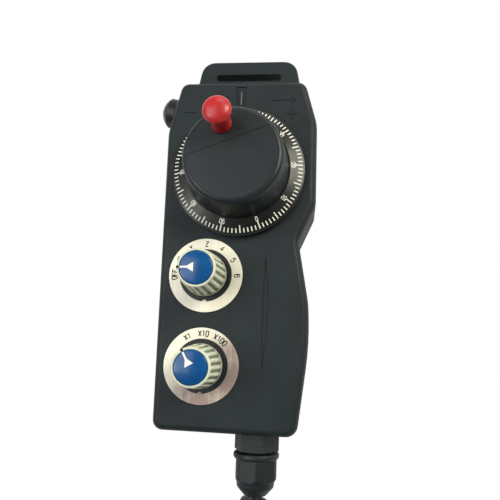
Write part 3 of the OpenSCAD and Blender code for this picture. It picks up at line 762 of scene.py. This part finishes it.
class Draft:
    """Points and faces of a mesh in the making, in metres."""

    def __init__(self) -> None:
        """Starts with nothing."""
        self.points: list[Vector] = []
        self.faces: list[tuple[int, ...]] = []

    def grid(self, rows: Sequence[Sequence[Vector]], closed: bool = True) -> None:
        """Joins rows of points by quads.

        Args:
            rows: Rows of the same number of points.
            closed: Whether each row runs back to its first point.
        """
        first, count = len(self.points), len(rows[0])
        for row in rows:
            self.points.extend(row)
        for level in range(len(rows) - 1):
            low = first + level * count
            high = low + count
            for step in range(count if closed else count - 1):
                after = (step + 1) % count
                self.faces.append((low + step, low + after, high + after, high + step))

    def ribbon(
        self, line: Line, width: float, lay: Surface, raised: float, closed: bool = False,
    ) -> None:
        """Lays a raised strip with mitred bends along a line.

        Args:
            line: Points of the line in the surface's own coordinates.
            width: Width of the strip.
            lay: Takes across, up and height to a point.
            raised: Height of the strip over the surface.
            closed: Whether the line runs back to its start.
        """
        first, count = len(self.points), len(line)
        flat = [Vector(point).to_2d() for point in line]
        legs = [(flat[(step + 1) % count] - here).normalized() for step, here in enumerate(flat)]
        for step, here in enumerate(flat):
            into = legs[step - 1] if closed or step else legs[0]
            out = legs[step] if closed or step < count - 1 else into
            mean = (into + out).normalized()
            side = Vector((-mean.y, mean.x)) * (width / 2 / max(MITRE, mean.dot(into)))
            left, right = here + side, here - side
            self.points += [
                lay(*left, -ROOT), lay(*left, raised), lay(*right, raised), lay(*right, -ROOT),
            ]
        for step in range(count if closed else count - 1):
            low, high = first + step * 4, first + (step + 1) % count * 4
            self.faces += [(low + k, high + k, high + k + 1, low + k + 1) for k in range(3)]
        if not closed:
            end = first + (count - 1) * 4
            self.faces += [
                (first, first + 1, first + 2, first + 3), (end + 3, end + 2, end + 1, end),
            ]

    def build(self, name: str, smooth: float = 30.0) -> bpy.types.Object:
        """Makes the mesh object.

        Args:
            name: Name of the piece.
            smooth: Angle in degrees up to which edges are shaded smooth.

        Returns:
            The new object.
        """
        mesh = bpy.data.meshes.new(name)
        mesh.from_pydata([tuple(point) for point in self.points], [], self.faces)
        mesh.validate()
        mesh.shade_smooth()
        mesh.set_sharp_from_angle(angle=math.radians(smooth))
        return add(name, mesh)


def softened(line: Line, closed: bool = False) -> Line:
    """Cuts a line's corners until it is a curve.

    Args:
        line: Points of the line.
        closed: Whether it runs back to its start.

    Returns:
        The points of the curve.
    """
    for _ in range(CORNER_CUTS):
        count = len(line)
        cut: list[tuple[float, float]] = [] if closed else [line[0]]
        for step in range(count if closed else count - 1):
            (ax, ay), (bx, by) = line[step], line[(step + 1) % count]
            cut.append((ax * 0.75 + bx * 0.25, ay * 0.75 + by * 0.25))
            cut.append((ax * 0.25 + bx * 0.75, ay * 0.25 + by * 0.75))
        line = cut if closed else [*cut, line[-1]]
    return line


class Bend(Enum):
    """How a stroke of a letter is drawn."""

    STRAIGHT = "straight"
    CURVED = "curved"
    LOOP = "loop"


@dataclass(frozen=True)
class Stroke:
    """One stroke of a letter, in the letter's own units."""

    bend: Bend
    points: Line

    def line(self) -> Line:
        """The stroke's points with its bends drawn in."""
        straight = self.bend is Bend.STRAIGHT
        return self.points if straight else softened(self.points, self.bend is Bend.LOOP)


# Width and height of a letter in its own units
LETTER = (3, 6)
straight, curved, loop = (partial(Stroke, bend) for bend in Bend)
OVAL = [loop([(0, -0.3), (3, -0.3), (3, 6.3), (0, 6.3)])]
# A condensed engraver's alphabet: the letters that the pendant needs
ALPHABET: dict[str, list[Stroke]] = {
    "0": OVAL,
    "O": OVAL,
    "1": [straight([(0.6, 4.7), (1.7, 6), (1.7, 0)])],
    "2": [
        curved([(0.1, 4.4), (0.2, 6.2), (3, 6.2), (3, 3.6), (0.3, 1.2), (0, 0)]),
        straight([(0, 0), (3, 0)]),
    ],
    "3": [
        curved([(0.1, 5), (0.5, 6.2), (3, 6.2), (3, 3.3), (1.3, 3.2)]),
        curved([(1.3, 3.2), (3.1, 3.2), (3.1, -0.2), (0.3, -0.2), (0, 1.2)]),
    ],
    "4": [straight([(2.3, 0), (2.3, 6), (0, 1.7), (3, 1.7)])],
    "5": [
        straight([(2.8, 6), (0.4, 6), (0.2, 3.3)]),
        curved([(0.2, 3.3), (1.3, 4.1), (3.1, 3.7), (3.1, -0.2), (0.4, -0.2), (0, 1.1)]),
    ],
    "6": [
        curved([(2.8, 5.1), (2.3, 6.2), (0, 6.4), (0, 1.9)]),
        loop([(0, -0.3), (3.1, -0.3), (3.1, 3.9), (0, 3.9)]),
    ],
    "7": [straight([(0, 6), (3, 6), (1.1, 0)])],
    "8": [
        loop([(0.2, 3.1), (2.8, 3.1), (2.8, 6.3), (0.2, 6.3)]),
        loop([(0, -0.3), (3, -0.3), (3, 3.3), (0, 3.3)]),
    ],
    "9": [
        curved([(0.2, 0.9), (0.7, -0.2), (3, -0.4), (3, 4.1)]),
        loop([(-0.1, 2.1), (3, 2.1), (3, 6.3), (-0.1, 6.3)]),
    ],
    "F": [straight([(0, 0), (0, 6), (2.9, 6)]), straight([(0, 3.1), (2.4, 3.1)])],
    "X": [straight([(0, 0), (3, 6)]), straight([(0, 6), (3, 0)])],
    "Y": [straight([(0, 6), (1.5, 3), (3, 6)]), straight([(1.5, 3), (1.5, 0)])],
    "Z": [straight([(0.1, 6), (2.9, 6), (0, 0), (3, 0)])],
}


@dataclass(frozen=True)
class Lettering:
    """One size of lettering: height, width of the strokes and distance in letter units."""

    height: float
    weight: float
    pitch: float = 4.0

    def write(self, draft: Draft, word: str, lay: Surface, raised: float) -> None:
        """Writes a word centred on the surface's own origin.

        Args:
            draft: The mesh that takes the letters.
            word: What to write.
            lay: Takes across, up and height to a point.
            raised: Height of the letters over the surface.
        """
        wide, tall = LETTER
        unit = self.height / tall
        start = -((len(word) - 1) * self.pitch + wide) / 2
        for place, letter in enumerate(word):
            left = start + place * self.pitch
            for stroke in ALPHABET[letter]:
                line = [((left + x) * unit, y * unit) for x, y in stroke.line()]
                draft.ribbon(line, self.weight, lay, raised, stroke.bend is Bend.LOOP)


@dataclass(frozen=True)
class Disc:
    """A turned surface round an upright axis: flat, or a cone that drops from inner to outer."""

    centre: Vector
    inner: float = 0.0
    outer: float = 1.0
    drop: float = 0.0

    def lay(self, angle: float, radius: float) -> Surface:
        """Local coordinates at a place on the surface, with up pointing outwards.

        Args:
            angle: Direction of the place in degrees from +X.
            radius: Distance of the place from the axis.

        Returns:
            A function from across, up and height to a point.
        """
        def point(across: float, up: float, height: float) -> Vector:
            """One point near the place.

            Args:
                across: Distance clockwise round the axis.
                up: Distance outwards.
                height: Distance over the surface.

            Returns:
                The point, in metres.
            """
            away = radius + up
            turn = math.radians(angle) - across / radius
            share = (away - self.inner) / (self.outer - self.inner)
            return turned(self.centre, turn, away, 0.0, height - self.drop * share)

        return point


@dataclass
class CurlyCord:
    """The cord: a short lead, tight curls along a folded route and a plain tail to the plug.

    It leaves the gland at the height of the curls' top and bends sideways into them. The points
    of lead, curls and tail are in metres from the dial axis on the table.
    """

    diameter: float = 6.2
    turn_radius: float = 6.35
    pitch: float = 6.5
    # Points in one turn and in one bend
    steps: int = 18
    phase: float = 260.0
    # Cosine of the turn above which the cord touches the table
    touching: float = 0.999
    span_parts: int = 24
    tail_spacing: float = 2.0
    curl_slack: tuple[float, float] = (6.0, 5.0)
    tail_slack: tuple[float, float] = (10.0, 8.0)
    lead: Sequence[Point] = (
        (0.0149, -0.180, 0.022), (0.0149, -0.1835, 0.022), (0.0149, -0.187, 0.022),
    )
    curls: Sequence[Point] = (
        (0.0149, -0.195, 0.01565), (0.0149, -0.203, 0.0152), (0.0146, -0.213, 0.0138),
        (0.0142, -0.225, 0.0115), (0.014, -0.238, 0.010), (0.014, -0.260, 0.010),
        (0.014, -0.285, 0.010), (0.014, -0.305, 0.010), (0.012, -0.316, 0.010),
        (0.006, -0.325, 0.010), (-0.003, -0.329, 0.010), (-0.012, -0.325, 0.010),
        (-0.018, -0.316, 0.010), (-0.020, -0.305, 0.010), (-0.020, -0.285, 0.010),
        (-0.020, -0.262, 0.010), (-0.022, -0.251, 0.010), (-0.028, -0.242, 0.010),
        (-0.037, -0.238, 0.010), (-0.046, -0.242, 0.010), (-0.052, -0.251, 0.010),
        (-0.054, -0.262, 0.010), (-0.054, -0.285, 0.010), (-0.054, -0.305, 0.010),
        (-0.054, -0.318, 0.010),
    )
    tail: Sequence[Point] = (
        (-0.0455, -0.333, 0.0035), (-0.0435, -0.3400, 0.0035), (-0.0385, -0.3458, 0.0035),
        (-0.030, -0.349, 0.0035), (-0.016, -0.349, 0.0035), (0.0, -0.349, 0.0035),
        (0.014, -0.349, 0.004), (0.026, -0.346, 0.007), (0.035, -0.337, 0.011),
        (0.038, -0.325, 0.014), (0.038, -0.314, 0.014),
    )

    def smooth(self, route: Sequence[Vector], spacing: float) -> list[Vector]:
        """Points at equal distances on a smooth curve through a route.

        Args:
            route: The points to pass through.
            spacing: Distance between the new points, in metres.

        Returns:
            The new points.
        """
        dense: list[Vector] = []
        for step, (start, end) in enumerate(zip(route, route[1:])):
            before, after = route[max(step - 1, 0)], route[min(step + 2, len(route) - 1)]
            for part in range(self.span_parts):
                t = part / self.span_parts
                dense.append(0.5 * (
                    2 * start + (end - before) * t
                    + (2 * before - 5 * start + 4 * end - after) * t ** 2
                    + (3 * start - before - 3 * end + after) * t ** 3
                ))
        dense.append(route[-1])
        even, left = [dense[0]], spacing
        for start, end in zip(dense, dense[1:]):
            gap = (end - start).length
            while gap >= left:
                start = start.lerp(end, left / gap)
                even.append(start)
                gap -= left
                left = spacing
            left -= gap
        return even

    def wound(self, spine: Sequence[Vector], spacing: float) -> list[Vector]:
        """Winds the cord round a spine and stops where it last touches the table.

        Args:
            spine: Points at equal distances.
            spacing: That distance, in metres.

        Returns:
            The centre line of the wound cord.
        """
        side = Vector((0, 0, -1))
        points: list[Vector] = []
        last = 0
        for step, here in enumerate(spine):
            ahead = spine[min(step + 1, len(spine) - 1)] - spine[max(step - 1, 0)]
            ahead.normalize()
            side = (side - ahead * side.dot(ahead)).normalized()
            turn = math.radians(self.phase) + math.tau * step * spacing / (self.pitch * MM)
            spin = side * math.cos(turn) + ahead.cross(side) * math.sin(turn)
            points.append(here + spin * self.turn_radius * MM)
            if math.cos(turn) > self.touching:
                last = step
        return points[:last + 1]

    def bend(
        self, before: Sequence[Vector], after: Sequence[Vector], slack: tuple[float, float],
    ) -> list[Vector]:
        """Smooth bend from the end of one stretch of cord to the start of the next.

        Args:
            before: The points that end where the bend starts.
            after: The points that start where the bend ends.
            slack: How far the bend carries on straight at its two ends.

        Returns:
            The points between the two stretches.
        """
        start, end = before[-1], after[0]
        leaving = start + (3 * start - 4 * before[-2] + before[-3]).normalized() * slack[0] * MM
        arriving = end - (4 * after[1] - 3 * end - after[2]).normalized() * slack[1] * MM
        points: list[Vector] = []
        for step in range(1, self.steps):
            t = step / self.steps
            first, second = start.lerp(leaving, t), leaving.lerp(arriving, t)
            third = arriving.lerp(end, t)
            points.append(first.lerp(second, t).lerp(second.lerp(third, t), t))
        return points

    def centre_line(self, origin: Vector) -> list[Vector]:
        """The whole centre line, from inside the gland to the plug.

        Args:
            origin: The dial axis on the table.

        Returns:
            The points of the line.
        """
        lead, spine, tail = (
            [origin + Vector(point) for point in route]
            for route in (self.lead, self.curls, self.tail)
        )
        spacing = self.pitch * MM / self.steps
        curls = self.wound(self.smooth(spine, spacing), spacing)
        tail = self.smooth(tail, self.tail_spacing * MM)
        return (
            lead + self.bend(lead, curls, self.curl_slack)
            + curls + self.bend(curls, tail, self.tail_slack) + tail
        )

    def build(self, origin: Vector) -> None:
        """Args:
            origin: The dial axis on the table.
        """
        line = self.centre_line(origin)
        curve = bpy.data.curves.new("curly_cord", "CURVE")
        curve.dimensions = "3D"
        curve.bevel_depth = self.diameter / 2 * MM
        curve.bevel_resolution = 3
        curve.use_fill_caps = True
        spline = curve.splines.new("POLY")
        spline.points.add(len(line) - 1)
        for point, place in zip(spline.points, line):
            point.co = (*place, 1.0)
        spline.use_smooth = True
        piece = add("curly_cord", curve)
        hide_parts("cord_lead", "cord_curl", "cord_tail")
        settle(piece, Body.CASE, PALETTE.cord)
        length = sum((b - a).length for a, b in zip(line, line[1:]))
        tuple(line[0])
        LOG.info("the cord is %.2f m long", length)


@dataclass(frozen=True)
class Viewpoint:
    """The camera above the panel, its place measured from the dial axis on the table."""

    place: Point = (39.3, -105.3, 330.35)
    tilt: float = 8.654
    lean: float = 5.193
    turn: float = 2.147
    shift: tuple[float, float] = (-0.008, 0.05)
    lens: float = 36.0
    sensor: float = 36.0
    nearest: float = 10.0

    def build(self, origin: Vector) -> None:
        """Makes the camera and hands it to the scene.

        Args:
            origin: The dial axis on the table.
        """
        camera = bpy.data.cameras.new("camera")
        camera.lens = self.lens
        camera.sensor_width = self.sensor
        camera.shift_x, camera.shift_y = self.shift
        camera.clip_start = self.nearest * MM
        piece = add("camera", camera)
        piece.location = origin + Vector(self.place) * MM
        piece.rotation_euler = Euler(map(math.radians, (self.tilt, self.lean, self.turn)))
        bpy.context.scene.camera = piece


@dataclass(frozen=True)
class Softbox:
    """One soft lamp, its place and size in metres."""

    name: str
    place: Point
    size: float
    power: float
    colour: Colour = WHITE

    def build(self, target: Vector) -> None:
        """Hangs the lamp and turns it to a target.

        Args:
            target: The place that the lamp shines on.
        """
        lamp = bpy.data.lights.new(self.name, "AREA")
        lamp.shape = "SQUARE"
        lamp.size = self.size
        lamp.energy = self.power
        lamp.color = self.colour
        piece = add(self.name, lamp)
        piece.location = self.place
        piece.rotation_euler = (target - Vector(self.place)).to_track_quat("-Z", "Y").to_euler()


@dataclass
class Studio:
    """Pale floor, plain surroundings and soft lamps, with sizes in metres."""

    lamps: Sequence[Softbox] = (
        Softbox("window_lamp", (-0.5, 0.1, 0.87), 0.7, 5.85),
        Softbox("left_lamp", (-0.68, -0.14, 0.71), 0.24, 1.3, (1.0, 0.98, 0.86)),
        Softbox("back_lamp", (0.1, 0.85, 0.5), 0.4, 1.5),
        Softbox("right_lamp", (0.62, 0.42, 0.68), 0.42, 8.8, (1.0, 0.98, 0.82)),
    )
    target: Point = (0.0, 0.0, 0.03)
    surroundings: float = 0.25
    sky: Colour = (0.92, 0.95, 1.0)
    floor_tone: float = 0.8
    floor_reach: float = 3.0

    def build(self) -> None:
        """Makes the floor, the surroundings and the lamps."""
        bpy.context.scene.view_settings.view_transform = "Standard"
        self.floor()
        self.world()
        for lamp in self.lamps:
            lamp.build(Vector(self.target))

    def floor(self) -> None:
        """A wide floor that is pure white to the eye and pale to everything else."""
        far = self.floor_reach
        draft = Draft()
        draft.grid([[Vector((x, y, 0)) for x in (-far, far)] for y in (-far, far)], closed=False)
        floor = draft.build("floor")
        material = bpy.data.materials.new("floor")
        graph = Graph(material)
        pale, paler = ((tone,) * 3 for tone in (self.floor_tone, self.floor_tone + 0.03))
        tone = graph.tint(graph.noise(40.0, detail=3.0), pale, paler)
        matt = graph.wire("ShaderNodeBsdfDiffuse", {}, {"Color": tone})
        glow = graph.wire("ShaderNodeEmission", {}, {"Color": WHITE, "Strength": 1.0})
        graph.node("ShaderNodeOutputMaterial", {}, {"Surface": graph.seen(matt, glow)})
        floor.data.materials.append(material)

    def world(self) -> None:
        """Even surroundings, white where the camera looks straight at them."""
        world = bpy.data.worlds.new("surroundings")
        bpy.context.scene.world = world
        graph = Graph(world)
        dim, white = (
            graph.wire("ShaderNodeBackground", {}, {"Color": colour, "Strength": strength})
            for colour, strength in ((self.sky, self.surroundings), (WHITE, 1.0))
        )
        graph.node("ShaderNodeOutputWorld", {}, {"Surface": graph.seen(dim, white)})


@dataclass
class CaseShell:
    """The moulded case with its raised signs, placed from the dial axis on the panel."""

    sign_height: float = 0.4
    sign_width: float = 0.75
    minus: Line = ((-36.3, 39.7), (-28.7, 39.7))
    plus: Sequence[Line] = (((27.4, 38.2), (34.7, 38.2)), ((31.05, 41.8), (31.05, 34.6)))
    arrow_sweep: Line = ((18.8, 46.7), (26.0, 47.7), (33.4, 47.1))
    arrow_head: Line = ((30.6, 49.2), (33.4, 47.1), (30.2, 45.3))
    index: Line = ((-0.4, 44.0), (-0.4, 52.4))
    index_height: float = 0.3
    index_width: float = 0.8

    def build(self) -> None:
        """Dresses the mouldings and adds the signs."""
        dress(PALETTE.case, 0.0, "front_shell", "rear_cover")
        dress(PALETTE.rubber, 0.0, "case_gasket")
        dress(PALETTE.steel, 0.1, "case_screws")
        dress(PALETTE.board, 0.1, "main_board", "terminal_block")
        self.signs()

    def signs(self) -> None:
        """Index line, minus, plus and the arrow that shows which way the wheel counts up."""
        dial = middle("scale_ring")
        lay = partial(turned, Vector((dial.x, dial.y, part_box("axis_plate")[0].z)), 0.0)
        draft = Draft()
        for line in (self.minus, *self.plus, softened(self.arrow_sweep), self.arrow_head):
            draft.ribbon(line, self.sign_width, lay, self.sign_height)
        signs = draft.build("case_signs")
        soften(signs, 0.12)
        settle(signs, Body.CASE, PALETTE.case)
        draft = Draft()
        draft.ribbon(self.index, self.index_width, lay, self.index_height)
        # The index ridge takes a lighter tone: a painted highlight
        settle(draft.build("index_ridge_painted_highlight"), Body.CASE, PALETTE.index)


@dataclass
class WheelUnit:
    """The dial wheel with its scale, cover and crank handle."""

    marks: int = 100
    long_every: int = 5
    number_every: int = 10
    # Direction of the zero mark, in degrees from +X
    zero: float = 292.3
    cone_inner: float = 31.4
    cone_outer: float = 39.6
    cone_drop: float = 3.2
    tick_end: float = 38.5
    short_tick: float = 2.5
    long_tick: float = 4.1
    tick_width: float = 0.66
    numerals: Lettering = Lettering(2.35, 0.42)
    numeral_radius: float = 31.8
    ink: float = 0.05
    cover_radius: float = 25.4
    cover_chord: float = 8.32
    # Width and height of the black strip of painted shade in the cover's gap
    seam_width: float = 0.34
    seam_height: float = 0.02

    def build(self) -> None:
        """Dresses the wheel's pieces and prints its scale."""
        dress(PALETTE.wheel, 0.06, "handwheel", "wheel_cover")
        dress(PALETTE.scale, 0.0, "scale_ring", crease=12.0)
        dress(PALETTE.red, 0.15, "crank_handle")
        dress(PALETTE.fitting, 0.15, "wheel_base")
        dress(PALETTE.steel, 0.08, "base_screws")
        dress(PALETTE.steel, 0.1, "front_bearing", "rear_bearing", "wheel_shaft", "wheel_bolt")
        dress(PALETTE.steel, 0.1, "handle_spindle", "encoder_disc")
        dress(PALETTE.brass, 0.0, "click_ring", "click_spring")
        dress(PALETTE.board, 0.1, "encoder_board")
        self.scale()
        self.seam()

    def scale(self) -> None:
        """Hundred graduations with a number at each tenth."""
        cone = Disc(middle("scale_ring"), self.cone_inner, self.cone_outer, self.cone_drop)
        draft = Draft()
        for mark in range(self.marks):
            angle = self.zero + mark * 360 / self.marks
            length = self.short_tick if mark % self.long_every else self.long_tick
            lay = cone.lay(angle, self.tick_end - length)
            draft.ribbon([(0, 0), (0, length)], self.tick_width, lay, self.ink)
            if mark % self.number_every == 0:
                lay = cone.lay(angle, self.numeral_radius)
                self.numerals.write(draft, str(mark), lay, self.ink)
        settle(draft.build("scale_marks"), Body.WHEEL, PALETTE.white)

    def seam(self) -> None:
        """Black strip of painted shade laid in the straight gap between the cover and the wheel."""
        dial, crank = middle("handwheel"), middle("crank_handle")
        course = math.atan2(crank.y - dial.y, crank.x - dial.x)
        half = math.sqrt(self.cover_radius ** 2 - self.cover_chord ** 2)
        line = [(side, self.cover_chord) for side in (-half, half)]
        draft = Draft()
        lay = partial(turned, dial, course - math.pi / 2)
        draft.ribbon(line, self.seam_width, lay, self.seam_height)
        # The black ink finish here is painted shade, not print
        settle(draft.build("cover_gap_shade"), Body.WHEEL, PALETTE.ink)


@dataclass
class Selector:
    """One rotary selector: legend plate, fluted grip, blue cap and pointer."""

    name: str
    body: Body
    # Direction of the pointer at rest, in degrees from +X
    pointer: float
    words: Sequence[tuple[str, float]]
    # Amount of the plate's tarnish and of its painted shade towards the lower right
    tarnish: float = 0.25
    flutes: int = 18
    samples: int = 12
    foot_radius: float = 12.8
    top_radius: float = 11.0
    flute_depth: float = 1.1
    flute_sharpness: float = 1.3
    # Where the full flutes start over the foot and end below the top
    flute_span: tuple[float, float] = (4.2, 2.6)
    bands: int = 8
    recess: float = 1.4
    cap_radius: float = 9.2
    cap_rise: float = 1.25
    cap_rings: int = 12
    cap_sides: int = 72
    # Distance from the axis and half width
    arrow_outline: Line = (
        (1.2, 2.6), (2.3, 1.95), (3.4, 1.3), (4.6, 0.6), (5.8, 0.5), (7.2, 0.5), (8.85, 0.5),
    )
    # Share of the half width and depth below the top
    arrow_section: Line = ((-1, 0.3), (-1, 0), (-0.5, 0), (0, 0), (0.5, 0), (1, 0), (1, 0.3))
    legend: Lettering = Lettering(3.0, 0.54)
    legend_radius: float = 17.1
    dot_radius: float = 10.15
    dot_size: tuple[float, float] = (0.45, 0.35)
    dot_width: float = 0.7
    dot_height: float = 0.06
    ink: float = 0.04

    def part(self, kind: str) -> str:
        """Name of one of the selector's nodes or pieces."""
        return f"{self.name}_{kind}"

    def build(self) -> None:
        """Dresses the selector's pieces, cuts its grip and prints its legend."""
        plate = middle(self.part("plate"))
        tarnished_and_shaded = replace(
            PALETTE.plate, name=self.part("plate"), stained=self.tarnish, centre=(plate.x, plate.y),
        )
        dress(tarnished_and_shaded, 0.12, self.part("plate"))
        dress(PALETTE.fitting, 0.1, self.part("skirt"), self.part("switch"))
        dress(PALETTE.steel, 0.1, self.part("nut"), self.part("shaft"))
        dress(PALETTE.wafer, 0.05, self.part("wafer"))
        self.grip()
        self.cap()
        self.arrow()
        self.print_legend()
        self.dot()

    def profile(self, tall: float) -> list[tuple[float, float, float]]:
        """The grip's outline, from the hollow under its foot over the rim into its recess.

        Args:
            tall: Height of the grip.

        Returns:
            Radius, height and share of the flutes' depth of each ring.
        """
        foot, top = self.foot_radius, self.top_radius
        start, end = self.flute_span
        rings = [
            (9.0, 3.0, 0.0), (9.0, 0.0, 0.0), (foot - 0.6, 0.0, 0.0), (foot - 0.2, 0.2, 0.0),
            (foot, 0.6, 0.0), (foot, 2.0, 0.0), (foot - 0.06, 2.7, 0.15), (foot - 0.14, 3.4, 0.7),
            (foot - 0.2, start, 1.0),
        ]
        for band in range(1, self.bands + 1):
            share = band / self.bands
            radius = (foot - 0.2) * (1 - share) + (top + 0.15) * share
            height = start + (tall - end - start) * share
            rings.append((radius, height, min(1.0, 4 - 3.4 * share)))
        return rings + [
            (top + 0.06, tall - 1.9, 0.5), (top, tall - 1.3, 0.38), (top - 0.1, tall - 0.7, 0.22),
            (top - 0.35, tall - 0.25, 0.06), (top - 0.8, tall, 0.0), (9.45, tall, 0.0),
            (9.4, tall - self.recess, 0.0), (3.0, tall - self.recess, 0.0),
        ]

    def grip(self) -> None:
        """The tapered grip, a smooth wave of flutes round a cone."""
        low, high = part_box(self.part("knob"))
        axis = Vector(((low.x + high.x) / 2, (low.y + high.y) / 2, low.z))
        sides = self.flutes * self.samples
        rows = []
        for radius, height, share in self.profile((high.z - low.z) / MM):
            row = []
            for angle in (math.tau * side / sides for side in range(sides)):
                wave = 0.5 - 0.5 * math.cos(angle * self.flutes)
                cut = self.flute_depth * share * wave ** self.flute_sharpness
                row.append(turned(axis, angle, radius - cut, 0.0, height))
            rows.append(row)
        draft = Draft()
        draft.grid(rows)
        grip = draft.build(self.part("grip"), 50.0)
        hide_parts(self.part("knob"))
        # The grip's finish, with dirt patches and painted shade in its flutes, at its foot and on
        # its rim
        worn = replace(
            PALETTE.grip, name=self.part("grip"), axis=(axis.x, axis.y),
            rim=high.z - 1.6 * MM, foot=low.z + 2.5 * MM, flutes=self.flutes,
        )
        settle(grip, self.body, worn)

    def dome(self, away: float) -> float:
        """Height of the cap's dome over its crown, below zero, at a distance from the axis."""
        return -self.cap_rise * (away / self.cap_radius) ** 2

    def cap(self) -> None:
        """The domed cap, pressed into the grip."""
        low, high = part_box(self.part("cap"))
        axis = middle(self.part("cap"))
        edge, deep = self.cap_radius, (low.z - high.z) / MM
        rings = [edge * ring / self.cap_rings for ring in range(1, self.cap_rings)]
        outline = [(0.01, 0.0), *((away, self.dome(away)) for away in rings)]
        outline += [
            (edge - 0.3, self.dome(edge - 0.3)), (edge - 0.1, self.dome(edge) - 0.08),
            (edge, self.dome(edge) - 0.3), (edge, deep), (0.01, deep),
        ]
        turns = [math.tau * side / self.cap_sides for side in range(self.cap_sides)]
        draft = Draft()
        draft.grid([
            [turned(axis, turn, away, 0.0, height) for turn in turns]
            for away, height in reversed(outline)
        ])
        cap = draft.build(self.part("button"), 50.0)
        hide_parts(self.part("cap"))
        settle(cap, self.body, PALETTE.blue)

    def arrow(self) -> None:
        """White pointer let into the dome: a line with a broad tail."""
        axis = middle(self.part("cap"))
        turn = math.radians(self.pointer)
        rows = []
        for along, half in self.arrow_outline:
            row = []
            for side, sunk in self.arrow_section:
                across = side * half
                level = self.dome(math.hypot(along, across)) + self.ink - sunk
                row.append(turned(axis, turn, along, across, level))
            rows.append(row)
        draft = Draft()
        draft.grid(rows, closed=False)
        ends = range(len(draft.points))
        wide = len(self.arrow_section)
        draft.faces += [tuple(reversed(ends[:wide])), tuple(ends[-wide:])]
        arrow = draft.build(self.part("arrow"), 40.0)
        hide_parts(self.part("pointer"))
        settle(arrow, self.body, PALETTE.white)

    def print_legend(self) -> None:
        """The words printed round the plate, their tops outwards."""
        disc = Disc(middle(self.part("plate")))
        draft = Draft()
        for word, angle in self.words:
            self.legend.write(draft, word, disc.lay(angle, self.legend_radius), self.ink)
        settle(draft.build(self.part("legend")), Body.CASE, PALETTE.ink)

    def dot(self) -> None:
        """Black spot on the grip's rim in front of the pointer."""
        lay = Disc(middle(self.part("knob"))).lay(self.pointer, self.dot_radius)
        wide, deep = self.dot_size
        turns = [math.radians(angle) for angle in range(0, 360, 30)]
        ring = [(wide * math.cos(turn), deep * math.sin(turn)) for turn in turns]
        draft = Draft()
        draft.ribbon(ring, self.dot_width, lay, self.dot_height, closed=True)
        settle(draft.build(self.part("dot")), self.body, PALETTE.ink)


@dataclass
class EnableButton:
    """The domed button in the upper left side."""

    def build(self) -> None:
        """Dresses the button's pieces."""
        dress(PALETTE.fitting, 0.15, "button_bezel")
        dress(PALETTE.button, 0.15, "button_cap")
        dress(PALETTE.steel, 0.1, "button_nut")
        dress(PALETTE.fitting, 0.1, "button_switch")


@dataclass
class CableGland:
    """The gland in the bottom end, with its thread."""

    thread_radius: float = 8.75
    thread_depth: float = 0.5
    thread_pitch: float = 1.5
    thread_length: float = 6.0
    # How far the thread reaches from the nut into the body
    thread_start: float = 3.0
    thread_rows: int = 12
    thread_sides: int = 48

    def build(self) -> None:
        """Dresses the gland and cuts its thread."""
        dress(PALETTE.fitting, 0.2, "gland_body", "gland_nut")
        dress(PALETTE.fitting, 0.15, "gland_locknut")
        dress(PALETTE.rubber, 0.1, "gland_seal")
        self.thread()

    def thread(self) -> None:
        """The turns of thread between the body and the nut."""
        low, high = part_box("gland_nut")
        start = min(high.y + self.thread_start * MM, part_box("gland_body")[1].y)
        east, up = (low.x + high.x) / 2, (low.z + high.z) / 2
        levels = self.thread_rows * int(self.thread_length / self.thread_pitch)
        rows = []
        for level in range(levels + 1):
            along = self.thread_length * level / levels
            row = []
            for turn in (side / self.thread_sides for side in range(self.thread_sides)):
                phase = (along / self.thread_pitch + turn) % 1.0
                crest = 1 - abs(2 * phase - 1)
                away = (self.thread_radius + self.thread_depth * crest) * MM
                angle = math.tau * turn
                row.append(Vector((
                    east + away * math.cos(angle), start - along * MM, up + away * math.sin(angle),
                )))
            rows.append(row)
        draft = Draft()
        draft.grid(rows)
        settle(draft.build("gland_thread"), Body.CASE, PALETTE.fitting)


@dataclass
class Connector:
    """The round connector on the cord's far end."""

    def build(self) -> None:
        """Dresses the connector's pieces."""
        dress(PALETTE.plug, 0.15, "plug_shell")
        dress(PALETTE.plug, 0.12, "plug_ring")
        dress(PALETTE.fitting, 0.1, "plug_insert")
        dress(PALETTE.brass, 0.05, "plug_pins")
        dress(PALETTE.rubber, 0.15, "plug_clamp")


def clear_scene() -> None:
    """Takes away what an empty file starts with."""
    kept = set(frame["nodes"].values()) | set(frame["bodies"].values())
    for piece in list(bpy.data.objects):
        if piece not in kept:
            bpy.data.objects.remove(piece)


def main() -> None:
    """Builds the pendant's looks piece by piece."""
    logging.basicConfig(level=logging.INFO, format="%(name)s: %(message)s")
    clear_scene()
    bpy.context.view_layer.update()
    dial = middle("scale_ring")
    origin = Vector((dial.x, dial.y, 0.0))
    Viewpoint().build(origin)
    CurlyCord().build(origin)
    Studio().build()
    assemblies = [
        CaseShell(),
        WheelUnit(),
        Selector("axis", Body.AXIS, 180.0, [
            ("OFF", 180), ("X", 150), ("Y", 120), ("Z", 90), ("4", 60), ("5", 30), ("6", 0),
        ]),
        Selector("step", Body.STEP, 120.0, [("X1", 118), ("X10", 88), ("X100", 55)], 1.6),
        EnableButton(),
        CableGland(),
        Connector(),
    ]
    for assembly in assemblies:
        LOG.info("building %s", type(assembly).__name__)
        assembly.build()


if __name__ == "__main__":
    main()
